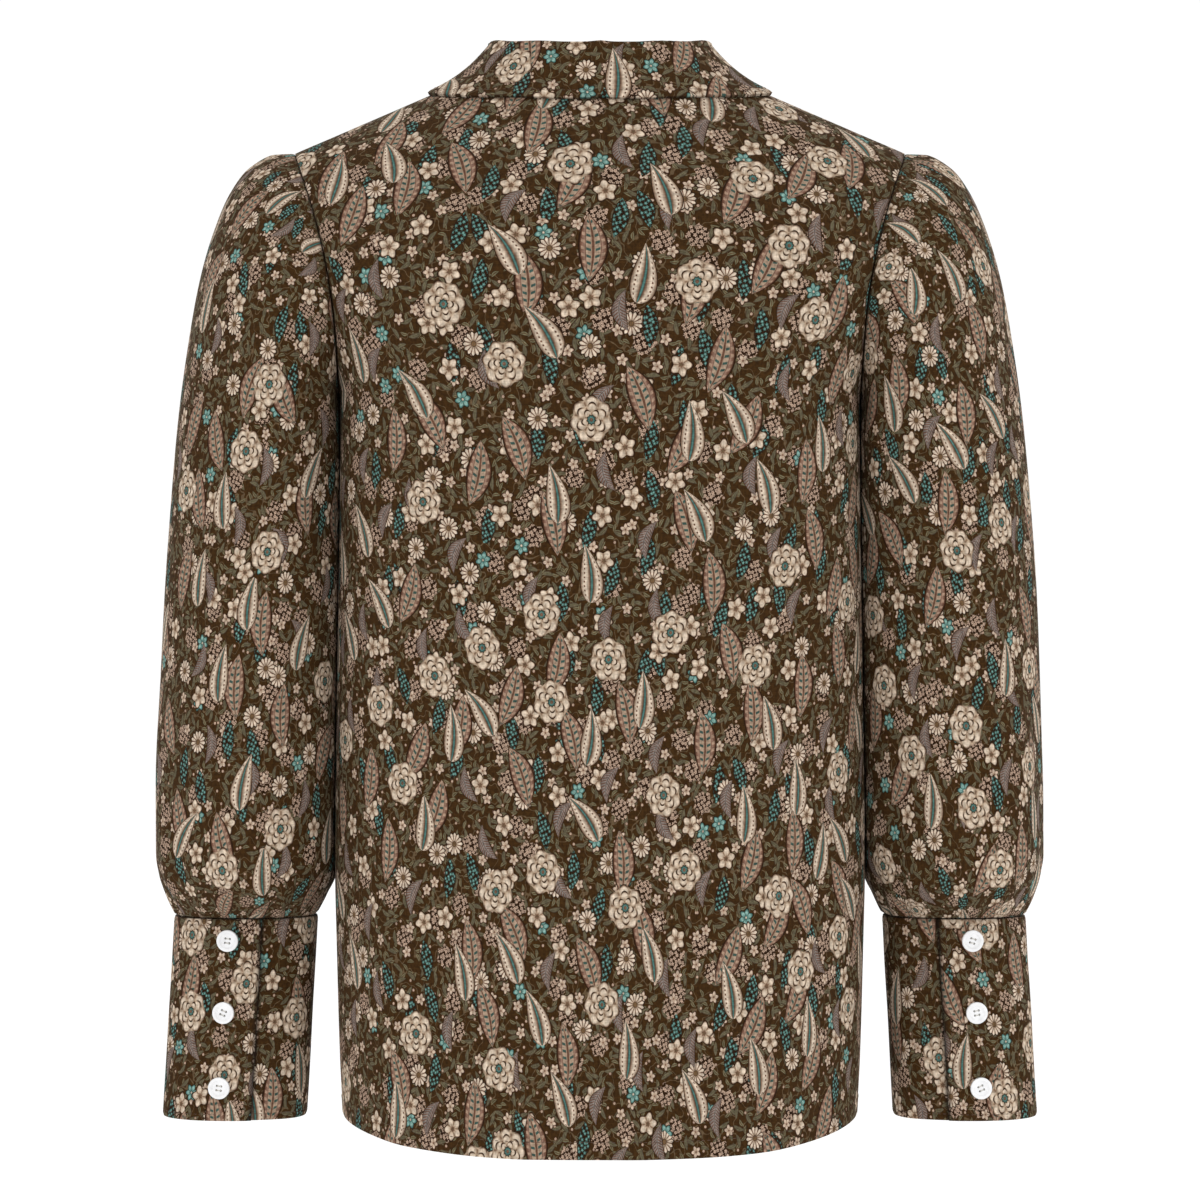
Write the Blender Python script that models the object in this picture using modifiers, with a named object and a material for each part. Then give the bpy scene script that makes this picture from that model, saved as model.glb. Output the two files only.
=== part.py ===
"""Lantern sleeve blouse, filled out as when worn, with no wearer.

The front faces -Y, the wearer's left is +X and up is +Z. The origin is at the middle of the neck opening,
level with the tops of the shoulder seams. All lengths below are in millimetres and all angles in degrees.
"""
import functools
import math
from collections import namedtuple

import bmesh
import bpy
from mathutils import Vector

MM = 0.001
UP = Vector((0, 0, 1))

# Cloth
SEAM_GAP = 0.3
CLOTH = 1.2
COLLAR_CLOTH = 1.6
CUFF_CLOTH = 2.0
UNDERLAP_SINK = 1.9

# Body
NECK_HALF_WIDTH = 67.0
SHOULDER_HALF_WIDTH = 192.0
SHOULDER_Z = -53.5
UNDERARM_HALF_WIDTH = 163.0
UNDERARM_Z = -205.0
HEM_SIDE_Z = -655.0
ARMHOLE_REACH = {1: 60.0, -1: 62.0}
ARMHOLE_HOLLOW = {1: 3.0, -1: 5.0}
ARMHOLE_CURVE = 1.9
UPPER_DROP_POWER = 2
HEM_DROP_POWER = 3
LAP_HALF_WIDTH = 15.0
LAP_FADE = 40.0

# Collar
COLLAR_ROLL_RADIUS = 3.0
COLLAR_EDGE_CLEARANCE = 1.3
COLLAR_FRONT_GAP = 0.3

# Sleeves and cuffs
SLEEVE_SQUARENESS = 2.15
SLEEVE_SEAT_FADE = 5.0
SLEEVE_CLEARANCE = 0.7
CUFF_SQUARENESS = 2.2
CUFF_LAP_ANGLE = 105.0
CUFF_LAP = 36.0
CUFF_LAP_SINK = 2.4
CUFF_LAP_START = 6.0
CUFF_STEP = 12.0

# Buttons
BUTTON_RADIUS = 6.8
BUTTON_THICKNESS = 2.5
BUTTON_RIM = 1.6
BUTTON_DISH = 0.9
BUTTON_EDGE = 0.6
CUFF_BUTTON_ANGLE = 82.0
CUFF_BUTTON_FALLS = (0.105, 0.462, 0.835)
FIRST_BUTTON_Z = -94.0
LAST_BUTTON_Z = -604.0
FRONT_BUTTONS = 7

# Steps along and across the pieces
SHOULDER_STEPS = 4
ARMHOLE_STEPS = 12
COLUMN_SHIFT = 10.0
SIDE_STEPS = 8
PANEL_STEPS = 9
FRONT_STEPS = 7

# Sections of the body from the neck seam down: level at the side, depths from the side to the middle of the
# back and of the front, squareness of the section, and how far its middle lies below the side
Body = namedtuple("Body", "level back_depth front_depth squareness back_drop front_drop")
BODY = (
    Body(0, 60, 78, 2.00, 20, 74),
    Body(-25, 79, 84, 1.75, 24, 68),
    Body(-53.5, 94, 92, 1.62, 26, 58),
    Body(-90, 105, 102, 2.05, 22, 44),
    Body(-129, 112, 112, 2.30, 15, 28),
    Body(-165, 115.5, 119, 2.40, 7, 12),
    Body(UNDERARM_Z, 116, 125, 2.40, 0, 0),
    Body(-260, 113, 128, 2.40, 0, 0),
    Body(-330, 106, 122, 2.40, 0, 0),
    Body(-410, 102, 116, 2.35, 0, 0),
    Body(-492, 105, 114, 2.35, 0, 0),
    Body(-560, 110, 115, 2.40, 1, 1),
    Body(-620, 114, 116, 2.40, 6, 6),
    Body(HEM_SIDE_Z, 116, 116, 2.40, 13, 13),
)

# Half width of the body below the underarm
Side = namedtuple("Side", "level half_width")
SIDE = (
    Side(UNDERARM_Z, UNDERARM_HALF_WIDTH),
    Side(-260, 163.3),
    Side(-330, 164.3),
    Side(-410, 165.6),
    Side(-492, 166.5),
    Side(-560, 165.0),
    Side(-620, 163.2),
    Side(HEM_SIDE_Z, 161.3),
)

# Rings of the left sleeve from the armhole to the cuff: where the outer and the inner side of each ring lie,
# half its depth, and how far its middle lies forwards
Ring = namedtuple("Ring", "station outer_x outer_z inner_x inner_z half_depth forward")
SLEEVE = (
    Ring(0, 192.0, -53.5, 163.0, -205, 61, 0),
    Ring(1, 204.5, -54.2, 163.6, -209, 65, 0),
    Ring(2, 220.5, -63.0, 163.0, -214, 67.5, 0),
    Ring(3, 232.5, -79.0, 162.0, -221, 68, 1),
    Ring(4, 243.2, -105.2, 161.0, -231, 67, 1),
    Ring(5, 251.6, -136.0, 160.5, -246, 65, 2),
    Ring(6, 258.5, -175.8, 160.5, -268, 63, 3),
    Ring(7, 264.6, -220.0, 160.8, -292, 61.5, 4),
    Ring(8, 270.5, -284.0, 161.0, -327, 61, 5),
    Ring(9, 274.6, -338.0, 161.5, -360, 61.5, 6),
    Ring(10, 278.0, -405.0, 162.0, -413, 63, 7),
    Ring(11, 279.8, -460.5, 162.5, -463, 65, 8),
    Ring(12, 280.0, -492.0, 163.0, -492, 66, 9),
    Ring(13, 278.0, -506.0, 167.0, -508.5, 62.5, 9),
    Ring(14, 273.8, -519.5, 172.4, -520.5, 52, 10),
    Ring(15, 267.8, -533.4, 179.6, -533.4, 31.3, 10),
)
SLEEVE_STATIONS = tuple(range(13)) + (12.5, 13, 13.5, 14, 14.5, 15)

# Top and bottom of the left cuff
Cuff = namedtuple("Cuff", "fall z middle_x half_width half_depth forward")
CUFF = (
    Cuff(0, -533.7, 223.8, 45.2, 31.8, 10),
    Cuff(1, -659.8, 231.2, 45.6, 33.0, 13),
)
CUFF_FALLS = (0, 0.5, 1)

# Sections of the collar from the middle of the back round to the front: height of the stand, how far the
# stand leans out, how far the fall is bowed out, and the angle and level of the body under its edge
Fold = namedtuple("Fold", "angle rise lean bow edge_angle edge_level")
COLLAR = (
    Fold(0, 28.6, -4, -0.4, 0, -7.6),
    Fold(30, 24.5, -3.5, -0.8, 30, -11.4),
    Fold(60, 17.8, -2, -2.4, 60, -17.6),
    Fold(75, 16.9, -1, -3.0, 75, -18.4),
    Fold(90, 16.2, 0, -2.6, 90, -16.8),
    Fold(135, 14.5, 0, 0.5, 145, -30),
    Fold(180, 12, 0, 1.2, 168, -82),
)


def smooth_curve(table, key, column):
    """A function of the key column: a smooth curve through the rows of another, which it never overshoots."""
    rows = sorted(table, key=lambda row: getattr(row, key))
    places = [getattr(row, key) for row in rows]
    values = [getattr(row, column) for row in rows]
    slopes = [(values[i + 1] - values[i]) / (places[i + 1] - places[i]) for i in range(len(rows) - 1)]
    tangents = [slopes[0]]
    for before, after in zip(slopes, slopes[1:]):
        tangents.append(2 * before * after / (before + after) if before * after > 0 else 0.0)
    tangents.append(slopes[-1])

    def read(at):
        i = max(0, min(len(slopes) - 1, sum(place <= at for place in places) - 1))
        length = places[i + 1] - places[i]
        share = (at - places[i]) / length
        if share < 0:
            return values[i] + tangents[i] * share * length
        if share > 1:
            return values[i + 1] + tangents[i + 1] * (share - 1) * length
        rise = values[i + 1] - values[i]
        bend_in = tangents[i] * length - rise
        bend_out = rise - tangents[i + 1] * length
        return values[i] + rise * share + share * (1 - share) * ((1 - share) * bend_in + share * bend_out)

    return read


BODY_CURVES = {column: smooth_curve(BODY, "level", column) for column in Body._fields[1:]}
SIDE_CURVE = smooth_curve(SIDE, "level", "half_width")
SLEEVE_CURVES = {column: smooth_curve(SLEEVE, "station", column) for column in Ring._fields[1:]}
CUFF_CURVES = {column: smooth_curve(CUFF, "fall", column) for column in Cuff._fields[1:]}
COLLAR_CURVES = {column: smooth_curve(COLLAR, "angle", column) for column in Fold._fields[1:]}


def read_all(row_type, curves, at):
    """The whole row of a table at a place between its rows."""
    return row_type(at, *(curves[column](at) for column in row_type._fields[1:]))


def signed_power(value, power):
    return math.copysign(abs(value) ** power, value)


def between(first, last, share):
    return first + (last - first) * share


def ease(share):
    """A smooth step from 0 to 1."""
    share = max(0.0, min(1.0, share))
    return share * share * (3 - 2 * share)


# The form of the body ---------------------------------------------------------------------------------------

def armhole_turn(level):
    """The angle down the armhole from the shoulder point (0) to the underarm (180)."""
    middle = (SHOULDER_Z + UNDERARM_Z) / 2
    half = (SHOULDER_Z - UNDERARM_Z) / 2
    return math.degrees(math.acos(max(-1.0, min(1.0, (level - middle) / half))))


def column_turn(step):
    """The angle round the armhole of a column of the sleeve; the columns share its height evenly."""
    turn = 180 * step / ARMHOLE_STEPS
    return turn + COLUMN_SHIFT * math.sin(math.radians(2 * turn))


def armhole_level(turn):
    middle = (SHOULDER_Z + UNDERARM_Z) / 2
    half = (SHOULDER_Z - UNDERARM_Z) / 2
    return middle + half * math.cos(math.radians(turn))


def armhole_x(z, face):
    """Half width across the blouse from one armhole seam to the other."""
    share = (z - UNDERARM_Z) / (SHOULDER_Z - UNDERARM_Z)
    share = max(0.0, min(1.0, share))
    slope = (SHOULDER_HALF_WIDTH - UNDERARM_HALF_WIDTH) * share ** ARMHOLE_CURVE
    return UNDERARM_HALF_WIDTH + slope - ARMHOLE_HOLLOW[face] * math.sin(math.pi * share)


@functools.lru_cache(maxsize=None)
def body_section(level, face):
    """Half width, depth, squareness, drop and edge of the body at a level; face is 1 behind, -1 in front."""
    row = read_all(Body, BODY_CURVES, level)
    depth = row.back_depth if face > 0 else row.front_depth
    drop = row.back_drop if face > 0 else row.front_drop
    edge = SEAM_GAP / 2
    if level >= SHOULDER_Z:
        half_width = between(NECK_HALF_WIDTH, SHOULDER_HALF_WIDTH, level / SHOULDER_Z)
    elif level <= UNDERARM_Z:
        half_width = SIDE_CURVE(level)
    else:
        edge = max(edge, ARMHOLE_REACH[face] * math.sin(math.radians(armhole_turn(level))))
        share = (edge / depth) ** row.squareness
        half_width = armhole_x(level - drop * share, face) / (1 - share) ** (1 / row.squareness)
    return half_width, depth, row.squareness, drop, edge


def form_point(angle, level):
    """A point on the body's form: angle 0 is the middle of the back, 90 the left side, 180 the front."""
    side = math.sin(math.radians(angle))
    front = math.cos(math.radians(angle))
    half_width, depth, squareness, drop, _ = body_section(level, 1 if front >= 0 else -1)
    power = UPPER_DROP_POWER if level > UNDERARM_Z else HEM_DROP_POWER
    x = half_width * signed_power(side, 2 / squareness)
    y = depth * signed_power(front, 2 / squareness)
    return Vector((x, y, level - drop * (1 - abs(side) ** power)))


def body_point(angle, level, out=0.0):
    """A point on the body's form, moved out along its normal."""
    point = form_point(angle, level)
    if not out:
        return point
    across = form_point(angle + 0.5, level) - form_point(angle - 0.5, level)
    along = form_point(angle, level - 0.5) - form_point(angle, level + 0.5)
    return point + across.cross(along).normalized() * out


def edge_angle(level, face):
    """The angle from the middle of the back or front at which a panel ends: at a seam or at the armhole."""
    _, depth, squareness, _, edge = body_section(level, face)
    return math.degrees(math.acos((edge / depth) ** (squareness / 2)))


def angle_at(x, level, face):
    """The angle from the middle of the back or front at which the form has a given x."""
    half_width, _, squareness, _, _ = body_section(level, face)
    return math.degrees(math.asin(signed_power(x / half_width, squareness / 2)))


def panel_levels():
    """Levels of the rows of a panel: down the shoulder seam, round the armhole and down the side seam."""
    shoulder = [SHOULDER_Z * i / SHOULDER_STEPS for i in range(SHOULDER_STEPS)]
    armhole = [armhole_level(column_turn(i)) for i in range(ARMHOLE_STEPS)]
    side = [between(UNDERARM_Z, HEM_SIDE_Z, i / SIDE_STEPS) for i in range(SIDE_STEPS + 1)]
    return shoulder + armhole + side


def column_angle(level, face, share):
    """The angle of a column of a panel: near its edge the columns lean over to follow the armhole."""
    return 90 * share - (90 - edge_angle(level, face)) * share * abs(share)


def back_rows(out):
    """The back from its right edge to its left, moved out from the form."""
    shares = [i / PANEL_STEPS for i in range(-PANEL_STEPS, PANEL_STEPS + 1)]
    return [[body_point(column_angle(level, 1, share), level, out) for share in shares]
            for level in panel_levels()]


def front_rows(side, under, out):
    """A front from its lapped edge to its side; side is 1 for the left, and under is the lower layer."""
    lap = [LAP_HALF_WIDTH * share for share in (-1, -0.5, 0, 0.5)]
    rows = []
    for level in panel_levels():
        first = angle_at(LAP_HALF_WIDTH, level, -1) / 90
        angles = [angle_at(x, level, -1) for x in lap]
        angles += [column_angle(level, -1, between(first, 1, i / FRONT_STEPS)) for i in range(FRONT_STEPS + 1)]
        row = []
        for angle in angles:
            fade = ease((form_point(180 - angle, level).x - LAP_HALF_WIDTH) / LAP_FADE)
            sink = UNDERLAP_SINK * (1 - fade) if under else 0.0
            point = body_point(180 - angle, level, out - sink)
            row.append(Vector((side * point.x, point.y, point.z)))
        rows.append(row)
    return rows


def on_line(line, z):
    """The point at a height on a line that runs down."""
    upper, lower = next(pair for pair in zip(line, line[1:]) if pair[1].z < z)
    return upper.lerp(lower, (z - upper.z) / (lower.z - upper.z))


def front_middle(z):
    """A place for a button on the middle line of the right front, clear of its rows, and its normal."""
    line = [body_point(180, level) for level in panel_levels()]
    upper, lower = on_line(line, z + BUTTON_RADIUS), on_line(line, z - BUTTON_RADIUS)
    normal = Vector((-1, 0, 0)).cross(lower - upper).normalized()
    rises = [(point - upper).dot(normal) for point in line if lower.z < point.z < upper.z]
    return (upper + lower) / 2 + normal * max([0] + rises), normal


# Sleeves ----------------------------------------------------------------------------------------------------

def armhole_point(turn):
    """A point round the left armhole: turn 0 is the shoulder point, 90 the back, 180 the underarm."""
    face = 1 if turn <= 180 else -1
    level = armhole_level(turn)
    angle = edge_angle(level, face)
    return form_point(angle if face > 0 else 180 - angle, level)


def plain_ring_point(turn, station):
    """A point on the sleeve as if the armhole were a plain oval."""
    ring = read_all(Ring, SLEEVE_CURVES, station)
    outer = Vector((ring.outer_x, -ring.forward, ring.outer_z))
    inner = Vector((ring.inner_x, -ring.forward, ring.inner_z))
    height = signed_power(math.cos(math.radians(turn)), 2 / SLEEVE_SQUARENESS)
    reach = signed_power(math.sin(math.radians(turn)), 2 / SLEEVE_SQUARENESS)
    return (outer + inner) / 2 + (outer - inner) / 2 * height + Vector((0, ring.half_depth * reach, 0))


def clear_of_body(point, clearance):
    """A point of the sleeve, pushed out sideways where the sleeve rests against the side of the body."""
    level = min(point.z, UNDERARM_Z)
    half_width, depth, squareness, _, _ = body_section(level, 1 if point.y >= 0 else -1)
    share = min(1.0, abs(point.y) / depth) ** squareness
    return Vector((max(point.x, half_width * (1 - share) ** (1 / squareness) + clearance), point.y, point.z))


def sleeve_point(turn, station):
    """A point on the left sleeve, which starts on the armhole and leaves its shape within a few rings."""
    point = plain_ring_point(turn, station)
    seat = 1 - ease(station / SLEEVE_SEAT_FADE)
    if seat > 0:
        seam = Vector((SHOULDER_Z - UNDERARM_Z, 0, UNDERARM_HALF_WIDTH - SHOULDER_HALF_WIDTH)).normalized()
        point += (armhole_point(turn) + seam * SEAM_GAP - plain_ring_point(turn, 0)) * seat
    return clear_of_body(point, between(SEAM_GAP, SLEEVE_CLEARANCE, min(1, station)))


def sleeve_rows(side):
    rows = []
    for station in SLEEVE_STATIONS:
        points = [sleeve_point(column_turn(i), station) for i in range(2 * ARMHOLE_STEPS)]
        rows.append([Vector((side * point.x, point.y, point.z)) for point in points])
    return rows


# Cuffs ------------------------------------------------------------------------------------------------------

def cuff_point(angle, fall, out=0.0):
    """A point on the left cuff: angle 0 is its outer side, 90 its back; fall runs from its top to its edge."""
    cuff = read_all(Cuff, CUFF_CURVES, fall)
    across = signed_power(math.cos(math.radians(angle)), 2 / CUFF_SQUARENESS)
    deep = signed_power(math.sin(math.radians(angle)), 2 / CUFF_SQUARENESS)
    normal = Vector((across * cuff.half_depth, deep * cuff.half_width, 0)).normalized()
    point = Vector((cuff.middle_x + cuff.half_width * across, cuff.half_depth * deep - cuff.forward, cuff.z))
    return point + normal * out


def cuff_rows(side):
    """A strip from the edge of the lap round the outer side, the front and the inner side to under the lap."""
    turn = 360 + CUFF_LAP
    steps = round(turn / CUFF_STEP)
    rows = []
    for fall in CUFF_FALLS:
        row = []
        for i in range(steps + 1):
            gone = turn * i / steps
            sink = CUFF_LAP_SINK * ease((gone - 360 + CUFF_LAP + CUFF_LAP_START) / CUFF_LAP)
            point = cuff_point(CUFF_LAP_ANGLE - gone, fall, -sink)
            row.append(Vector((side * point.x, point.y, point.z)))
        rows.append(row)
    return rows


# Collar -----------------------------------------------------------------------------------------------------

def collar_section(angle):
    """The collar's outer side from the neck seam up the stand, over the roll and down the fall."""
    fold = read_all(Fold, COLLAR_CURVES, angle)
    neck = form_point(angle, 0)
    ring = form_point(min(angle + 1, 180), 0) - form_point(max(angle - 1, 0), 0)
    outward = Vector((-ring.y, ring.x, 0)).normalized()
    foot = neck - outward * COLLAR_CLOTH + UP * SEAM_GAP
    top = neck + outward * (fold.lean - COLLAR_CLOTH) + UP * (fold.rise - COLLAR_ROLL_RADIUS)
    middle = top + outward * COLLAR_ROLL_RADIUS
    points = [foot, (foot + top) / 2]
    for turn in (180, 135, 90, 45, 0):
        across = math.cos(math.radians(turn)) * COLLAR_ROLL_RADIUS
        points.append(middle + outward * across + UP * math.sin(math.radians(turn)) * COLLAR_ROLL_RADIUS)
    clearance = COLLAR_CLOTH + COLLAR_EDGE_CLEARANCE
    edge = body_point(fold.edge_angle, fold.edge_level, clearance)
    for share in (1 / 3, 2 / 3, 1):
        bow = fold.bow * 4 * share * (1 - share)
        points.append(points[6].lerp(edge, share) + (outward + UP).normalized() * bow)
    return points


def collar_rows():
    """The left half of the collar, with a section over each column of the panels that it is sewn to."""
    back = [90 * i / PANEL_STEPS for i in range(PANEL_STEPS)]
    lap = angle_at(LAP_HALF_WIDTH, 0, -1)
    front = [between(90, lap, i / FRONT_STEPS) for i in range(FRONT_STEPS + 1)]
    front += [angle_at(x, 0, -1) for x in (LAP_HALF_WIDTH / 2, COLLAR_FRONT_GAP)]
    return [collar_section(angle) for angle in back + [180 - angle for angle in front]]


# Objects ----------------------------------------------------------------------------------------------------

def plain_material(name, colour, roughness):
    material = bpy.data.materials.new(name)
    material.use_nodes = True
    shader = material.node_tree.nodes["Principled BSDF"]
    shader.inputs["Base Color"].default_value = (*colour, 1)
    shader.inputs["Roughness"].default_value = roughness
    shader.inputs["Metallic"].default_value = 0.0
    return material


def new_piece(name, shape, material):
    mesh = bpy.data.meshes.new(name)
    shape.to_mesh(mesh)
    shape.free()
    mesh.shade_smooth()
    mesh.materials.append(material)
    piece = bpy.data.objects.new(name, mesh)
    blouse.objects.link(piece)
    return piece


def add_faces(shape, grid, closed=False, flipped=False):
    """Faces between neighbouring rows of a grid of vertices."""
    for upper, lower in zip(grid, grid[1:]):
        count = len(upper) if closed else len(upper) - 1
        for i in range(count):
            j = (i + 1) % len(upper)
            corners = (upper[i], lower[i], lower[j], upper[j])
            shape.faces.new(corners[::-1] if flipped else corners)


def panel(name, rows, material):
    """A body panel: its outer and inner faces lie on the same form, so its seams are even all through."""
    shape = bmesh.new()
    outer, inner = ([[shape.verts.new(point * MM) for point in row] for row in rows(out)]
                    for out in (0, -CLOTH))
    add_faces(shape, outer)
    add_faces(shape, inner, flipped=True)
    add_faces(shape, [outer[0], inner[0]])
    add_faces(shape, [inner[-1], outer[-1]])
    add_faces(shape, [[row[0] for row in inner], [row[0] for row in outer]])
    add_faces(shape, [[row[-1] for row in outer], [row[-1] for row in inner]])
    bmesh.ops.recalc_face_normals(shape, faces=shape.faces)
    return new_piece(name, shape, material)


def sheet(name, rows, material, thickness, closed=False, flipped=False, mirrored=False):
    """One piece of cloth: an open surface through rows of points, given its thickness on the inner side."""
    shape = bmesh.new()
    add_faces(shape, [[shape.verts.new(point * MM) for point in row] for row in rows], closed, flipped)
    piece = new_piece(name, shape, material)
    if mirrored:
        mirror = piece.modifiers.new("Halves", "MIRROR")
        mirror.merge_threshold = 0.0001
    solid = piece.modifiers.new("Cloth", "SOLIDIFY")
    solid.thickness = thickness * MM
    solid.offset = -1
    solid.use_even_offset = True
    return piece


def button_mesh():
    """Half of the section of a button with a raised rim and a dished middle, for a Screw modifier to turn."""
    dish = BUTTON_THICKNESS - BUTTON_DISH
    profile = (
        (0, dish),
        (BUTTON_RADIUS - 2 * BUTTON_RIM, dish),
        (BUTTON_RADIUS - BUTTON_RIM, BUTTON_THICKNESS),
        (BUTTON_RADIUS - BUTTON_EDGE, BUTTON_THICKNESS),
        (BUTTON_RADIUS, BUTTON_THICKNESS - BUTTON_EDGE),
        (BUTTON_RADIUS, BUTTON_EDGE),
        (BUTTON_RADIUS - BUTTON_EDGE, 0),
        (0, 0),
    )
    shape = bmesh.new()
    points = [shape.verts.new(Vector((x, 0, z)) * MM) for x, z in profile]
    for first, second in zip(points, points[1:]):
        shape.edges.new((first, second))
    mesh = bpy.data.meshes.new("button")
    shape.to_mesh(mesh)
    shape.free()
    return mesh


def button(name, mesh, place, normal):
    """One button, laid on the cloth at a place and facing along its normal."""
    piece = bpy.data.objects.new(name, mesh)
    blouse.objects.link(piece)
    piece.location = (place + normal * SEAM_GAP) * MM
    piece.rotation_mode = "QUATERNION"
    piece.rotation_quaternion = normal.to_track_quat("Z", "Y")
    turned = piece.modifiers.new("Turned", "SCREW")
    turned.steps = 16
    turned.render_steps = 16
    turned.use_merge_vertices = True
    turned.merge_threshold = 0.00001


for old in list(bpy.data.objects):
    bpy.data.objects.remove(old, do_unlink=True)
blouse = bpy.data.collections.new("Lantern sleeve blouse")
bpy.context.scene.collection.children.link(blouse)

body_cloth = plain_material("Printed cotton voile, body", (0.045, 0.026, 0.016), 0.85)
sleeve_cloth = plain_material("Printed cotton voile, sleeves", (0.055, 0.031, 0.019), 0.85)
trim_cloth = plain_material("Printed cotton voile, collar and cuffs", (0.038, 0.021, 0.013), 0.85)
white_resin = plain_material("White resin", (0.90, 0.90, 0.91), 0.35)

panel("back", back_rows, body_cloth)
panel("front_left", functools.partial(front_rows, 1, True), body_cloth)
panel("front_right", functools.partial(front_rows, -1, False), body_cloth)
sheet("collar", collar_rows(), trim_cloth, COLLAR_CLOTH, mirrored=True)

button_shape = button_mesh()
button_shape.materials.append(white_resin)
for side, word in ((1, "left"), (-1, "right")):
    sheet(f"sleeve_{word}", sleeve_rows(side), sleeve_cloth, CLOTH, closed=True, flipped=side < 0)
    sheet(f"cuff_{word}", cuff_rows(side), trim_cloth, CUFF_CLOTH, flipped=side > 0)
    for number, fall in enumerate(CUFF_BUTTON_FALLS, 1):
        place = cuff_point(CUFF_BUTTON_ANGLE, fall)
        normal = cuff_point(CUFF_BUTTON_ANGLE, fall, 1) - place
        place.x *= side
        normal.x *= side
        button(f"cuff_button_{word}_{number}", button_shape, place, normal)

for number in range(FRONT_BUTTONS):
    place, normal = front_middle(between(FIRST_BUTTON_Z, LAST_BUTTON_Z, number / (FRONT_BUTTONS - 1)))
    button(f"front_button_{number + 1}", button_shape, place, normal)
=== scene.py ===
# %% [markdown]
# # Lantern sleeve blouse
# A blouse of thin printed cotton, filled out as if somebody wore it. It has a back, two fronts that button,
# a collar that folds down, two full sleeves and two deep cuffs. This lesson dresses a plain model of it: each
# stiff solid is replaced by fine cloth on the same form, with soft folds, seams, stitches, a print and
# buttons with thread.

# %% Load the plain model
import bisect
import contextlib
import functools
import itertools
import math
from collections import namedtuple

import bpy
from mathutils import Matrix, Vector, noise


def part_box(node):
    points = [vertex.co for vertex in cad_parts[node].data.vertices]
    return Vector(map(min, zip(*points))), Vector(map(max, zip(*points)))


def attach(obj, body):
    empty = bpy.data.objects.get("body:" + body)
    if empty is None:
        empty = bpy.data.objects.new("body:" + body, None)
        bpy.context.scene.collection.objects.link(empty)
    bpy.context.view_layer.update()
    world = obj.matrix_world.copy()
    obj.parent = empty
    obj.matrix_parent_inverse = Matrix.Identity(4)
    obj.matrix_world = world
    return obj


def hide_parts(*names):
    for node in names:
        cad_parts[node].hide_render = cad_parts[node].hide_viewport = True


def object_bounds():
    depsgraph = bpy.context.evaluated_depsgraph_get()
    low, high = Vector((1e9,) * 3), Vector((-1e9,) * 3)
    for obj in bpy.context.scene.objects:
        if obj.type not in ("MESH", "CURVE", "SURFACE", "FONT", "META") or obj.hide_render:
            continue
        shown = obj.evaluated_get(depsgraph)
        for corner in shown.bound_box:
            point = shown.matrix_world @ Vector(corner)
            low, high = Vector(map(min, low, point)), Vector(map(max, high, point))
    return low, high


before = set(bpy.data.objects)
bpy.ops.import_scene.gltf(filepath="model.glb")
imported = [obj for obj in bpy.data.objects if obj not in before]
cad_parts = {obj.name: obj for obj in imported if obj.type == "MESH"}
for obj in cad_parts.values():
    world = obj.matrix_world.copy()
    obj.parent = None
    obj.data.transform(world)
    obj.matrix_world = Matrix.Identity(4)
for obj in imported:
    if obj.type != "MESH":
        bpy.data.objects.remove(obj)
cad_box = [[float(value) for value in corner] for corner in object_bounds()]
MM = 0.001
UP = Vector((0, 0, 1))
print("plain model from", cad_box[0], "to", cad_box[1])

# %% [markdown]
# ## The form
# A garment's shape comes from its cut, and here the cut is read from short tables in millimetres. The body is
# a stack of rounded sections from the neck seam down to the hem, and a sleeve is a row of rings. Boxes pushed
# about by hand would be quicker, but two pieces that share one form always meet along their seam.

# %% Sizes of the blouse, in millimetres
SEAM_GAP = 0.3
CLOTH = 1.1
COLLAR_CLOTH = 1.6
CUFF_CLOTH = 2.0
NECK_HALF_WIDTH = 67.0
SHOULDER_HALF_WIDTH = 192.0
SHOULDER_Z = -53.5
UNDERARM_HALF_WIDTH = 163.0
UNDERARM_Z = -205.0
HEM_SIDE_Z = -655.0
ARMHOLE_REACH = {1: 60.0, -1: 62.0}
ARMHOLE_HOLLOW = {1: 3.0, -1: 5.0}
ARMHOLE_CURVE = 1.9
UPPER_DROP_POWER = 2
HEM_DROP_POWER = 3
LAP_HALF_WIDTH = 15.0
LAP_FADE = 40.0
UNDERLAP_SINK = 1.9
print("shoulders", 2 * SHOULDER_HALF_WIDTH, "mm across, side seams", UNDERARM_Z - HEM_SIDE_Z, "mm long")

# %% Tables of sections
Body = namedtuple("Body", "level back_depth front_depth squareness back_drop front_drop")
BODY = (
    Body(0, 60, 78, 2.00, 20, 74),
    Body(-25, 79, 84, 1.75, 24, 68),
    Body(-53.5, 94, 92, 1.62, 26, 58),
    Body(-90, 105, 102, 2.05, 22, 44),
    Body(-129, 112, 112, 2.30, 15, 28),
    Body(-165, 115.5, 119, 2.40, 7, 12),
    Body(UNDERARM_Z, 116, 125, 2.40, 0, 0),
    Body(-260, 113, 128, 2.40, 0, 0),
    Body(-330, 106, 122, 2.40, 0, 0),
    Body(-410, 102, 116, 2.35, 0, 0),
    Body(-492, 105, 114, 2.35, 0, 0),
    Body(-560, 110, 115, 2.40, 1, 1),
    Body(-620, 114, 116, 2.40, 6, 6),
    Body(HEM_SIDE_Z, 116, 116, 2.40, 13, 13),
)
Side = namedtuple("Side", "level half_width")
SIDE = (
    Side(UNDERARM_Z, UNDERARM_HALF_WIDTH),
    Side(-260, 163.3),
    Side(-330, 164.3),
    Side(-410, 165.6),
    Side(-492, 166.5),
    Side(-560, 165.0),
    Side(-620, 163.2),
    Side(HEM_SIDE_Z, 161.3),
)
Ring = namedtuple("Ring", "station outer_x outer_z inner_x inner_z half_depth forward")
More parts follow.
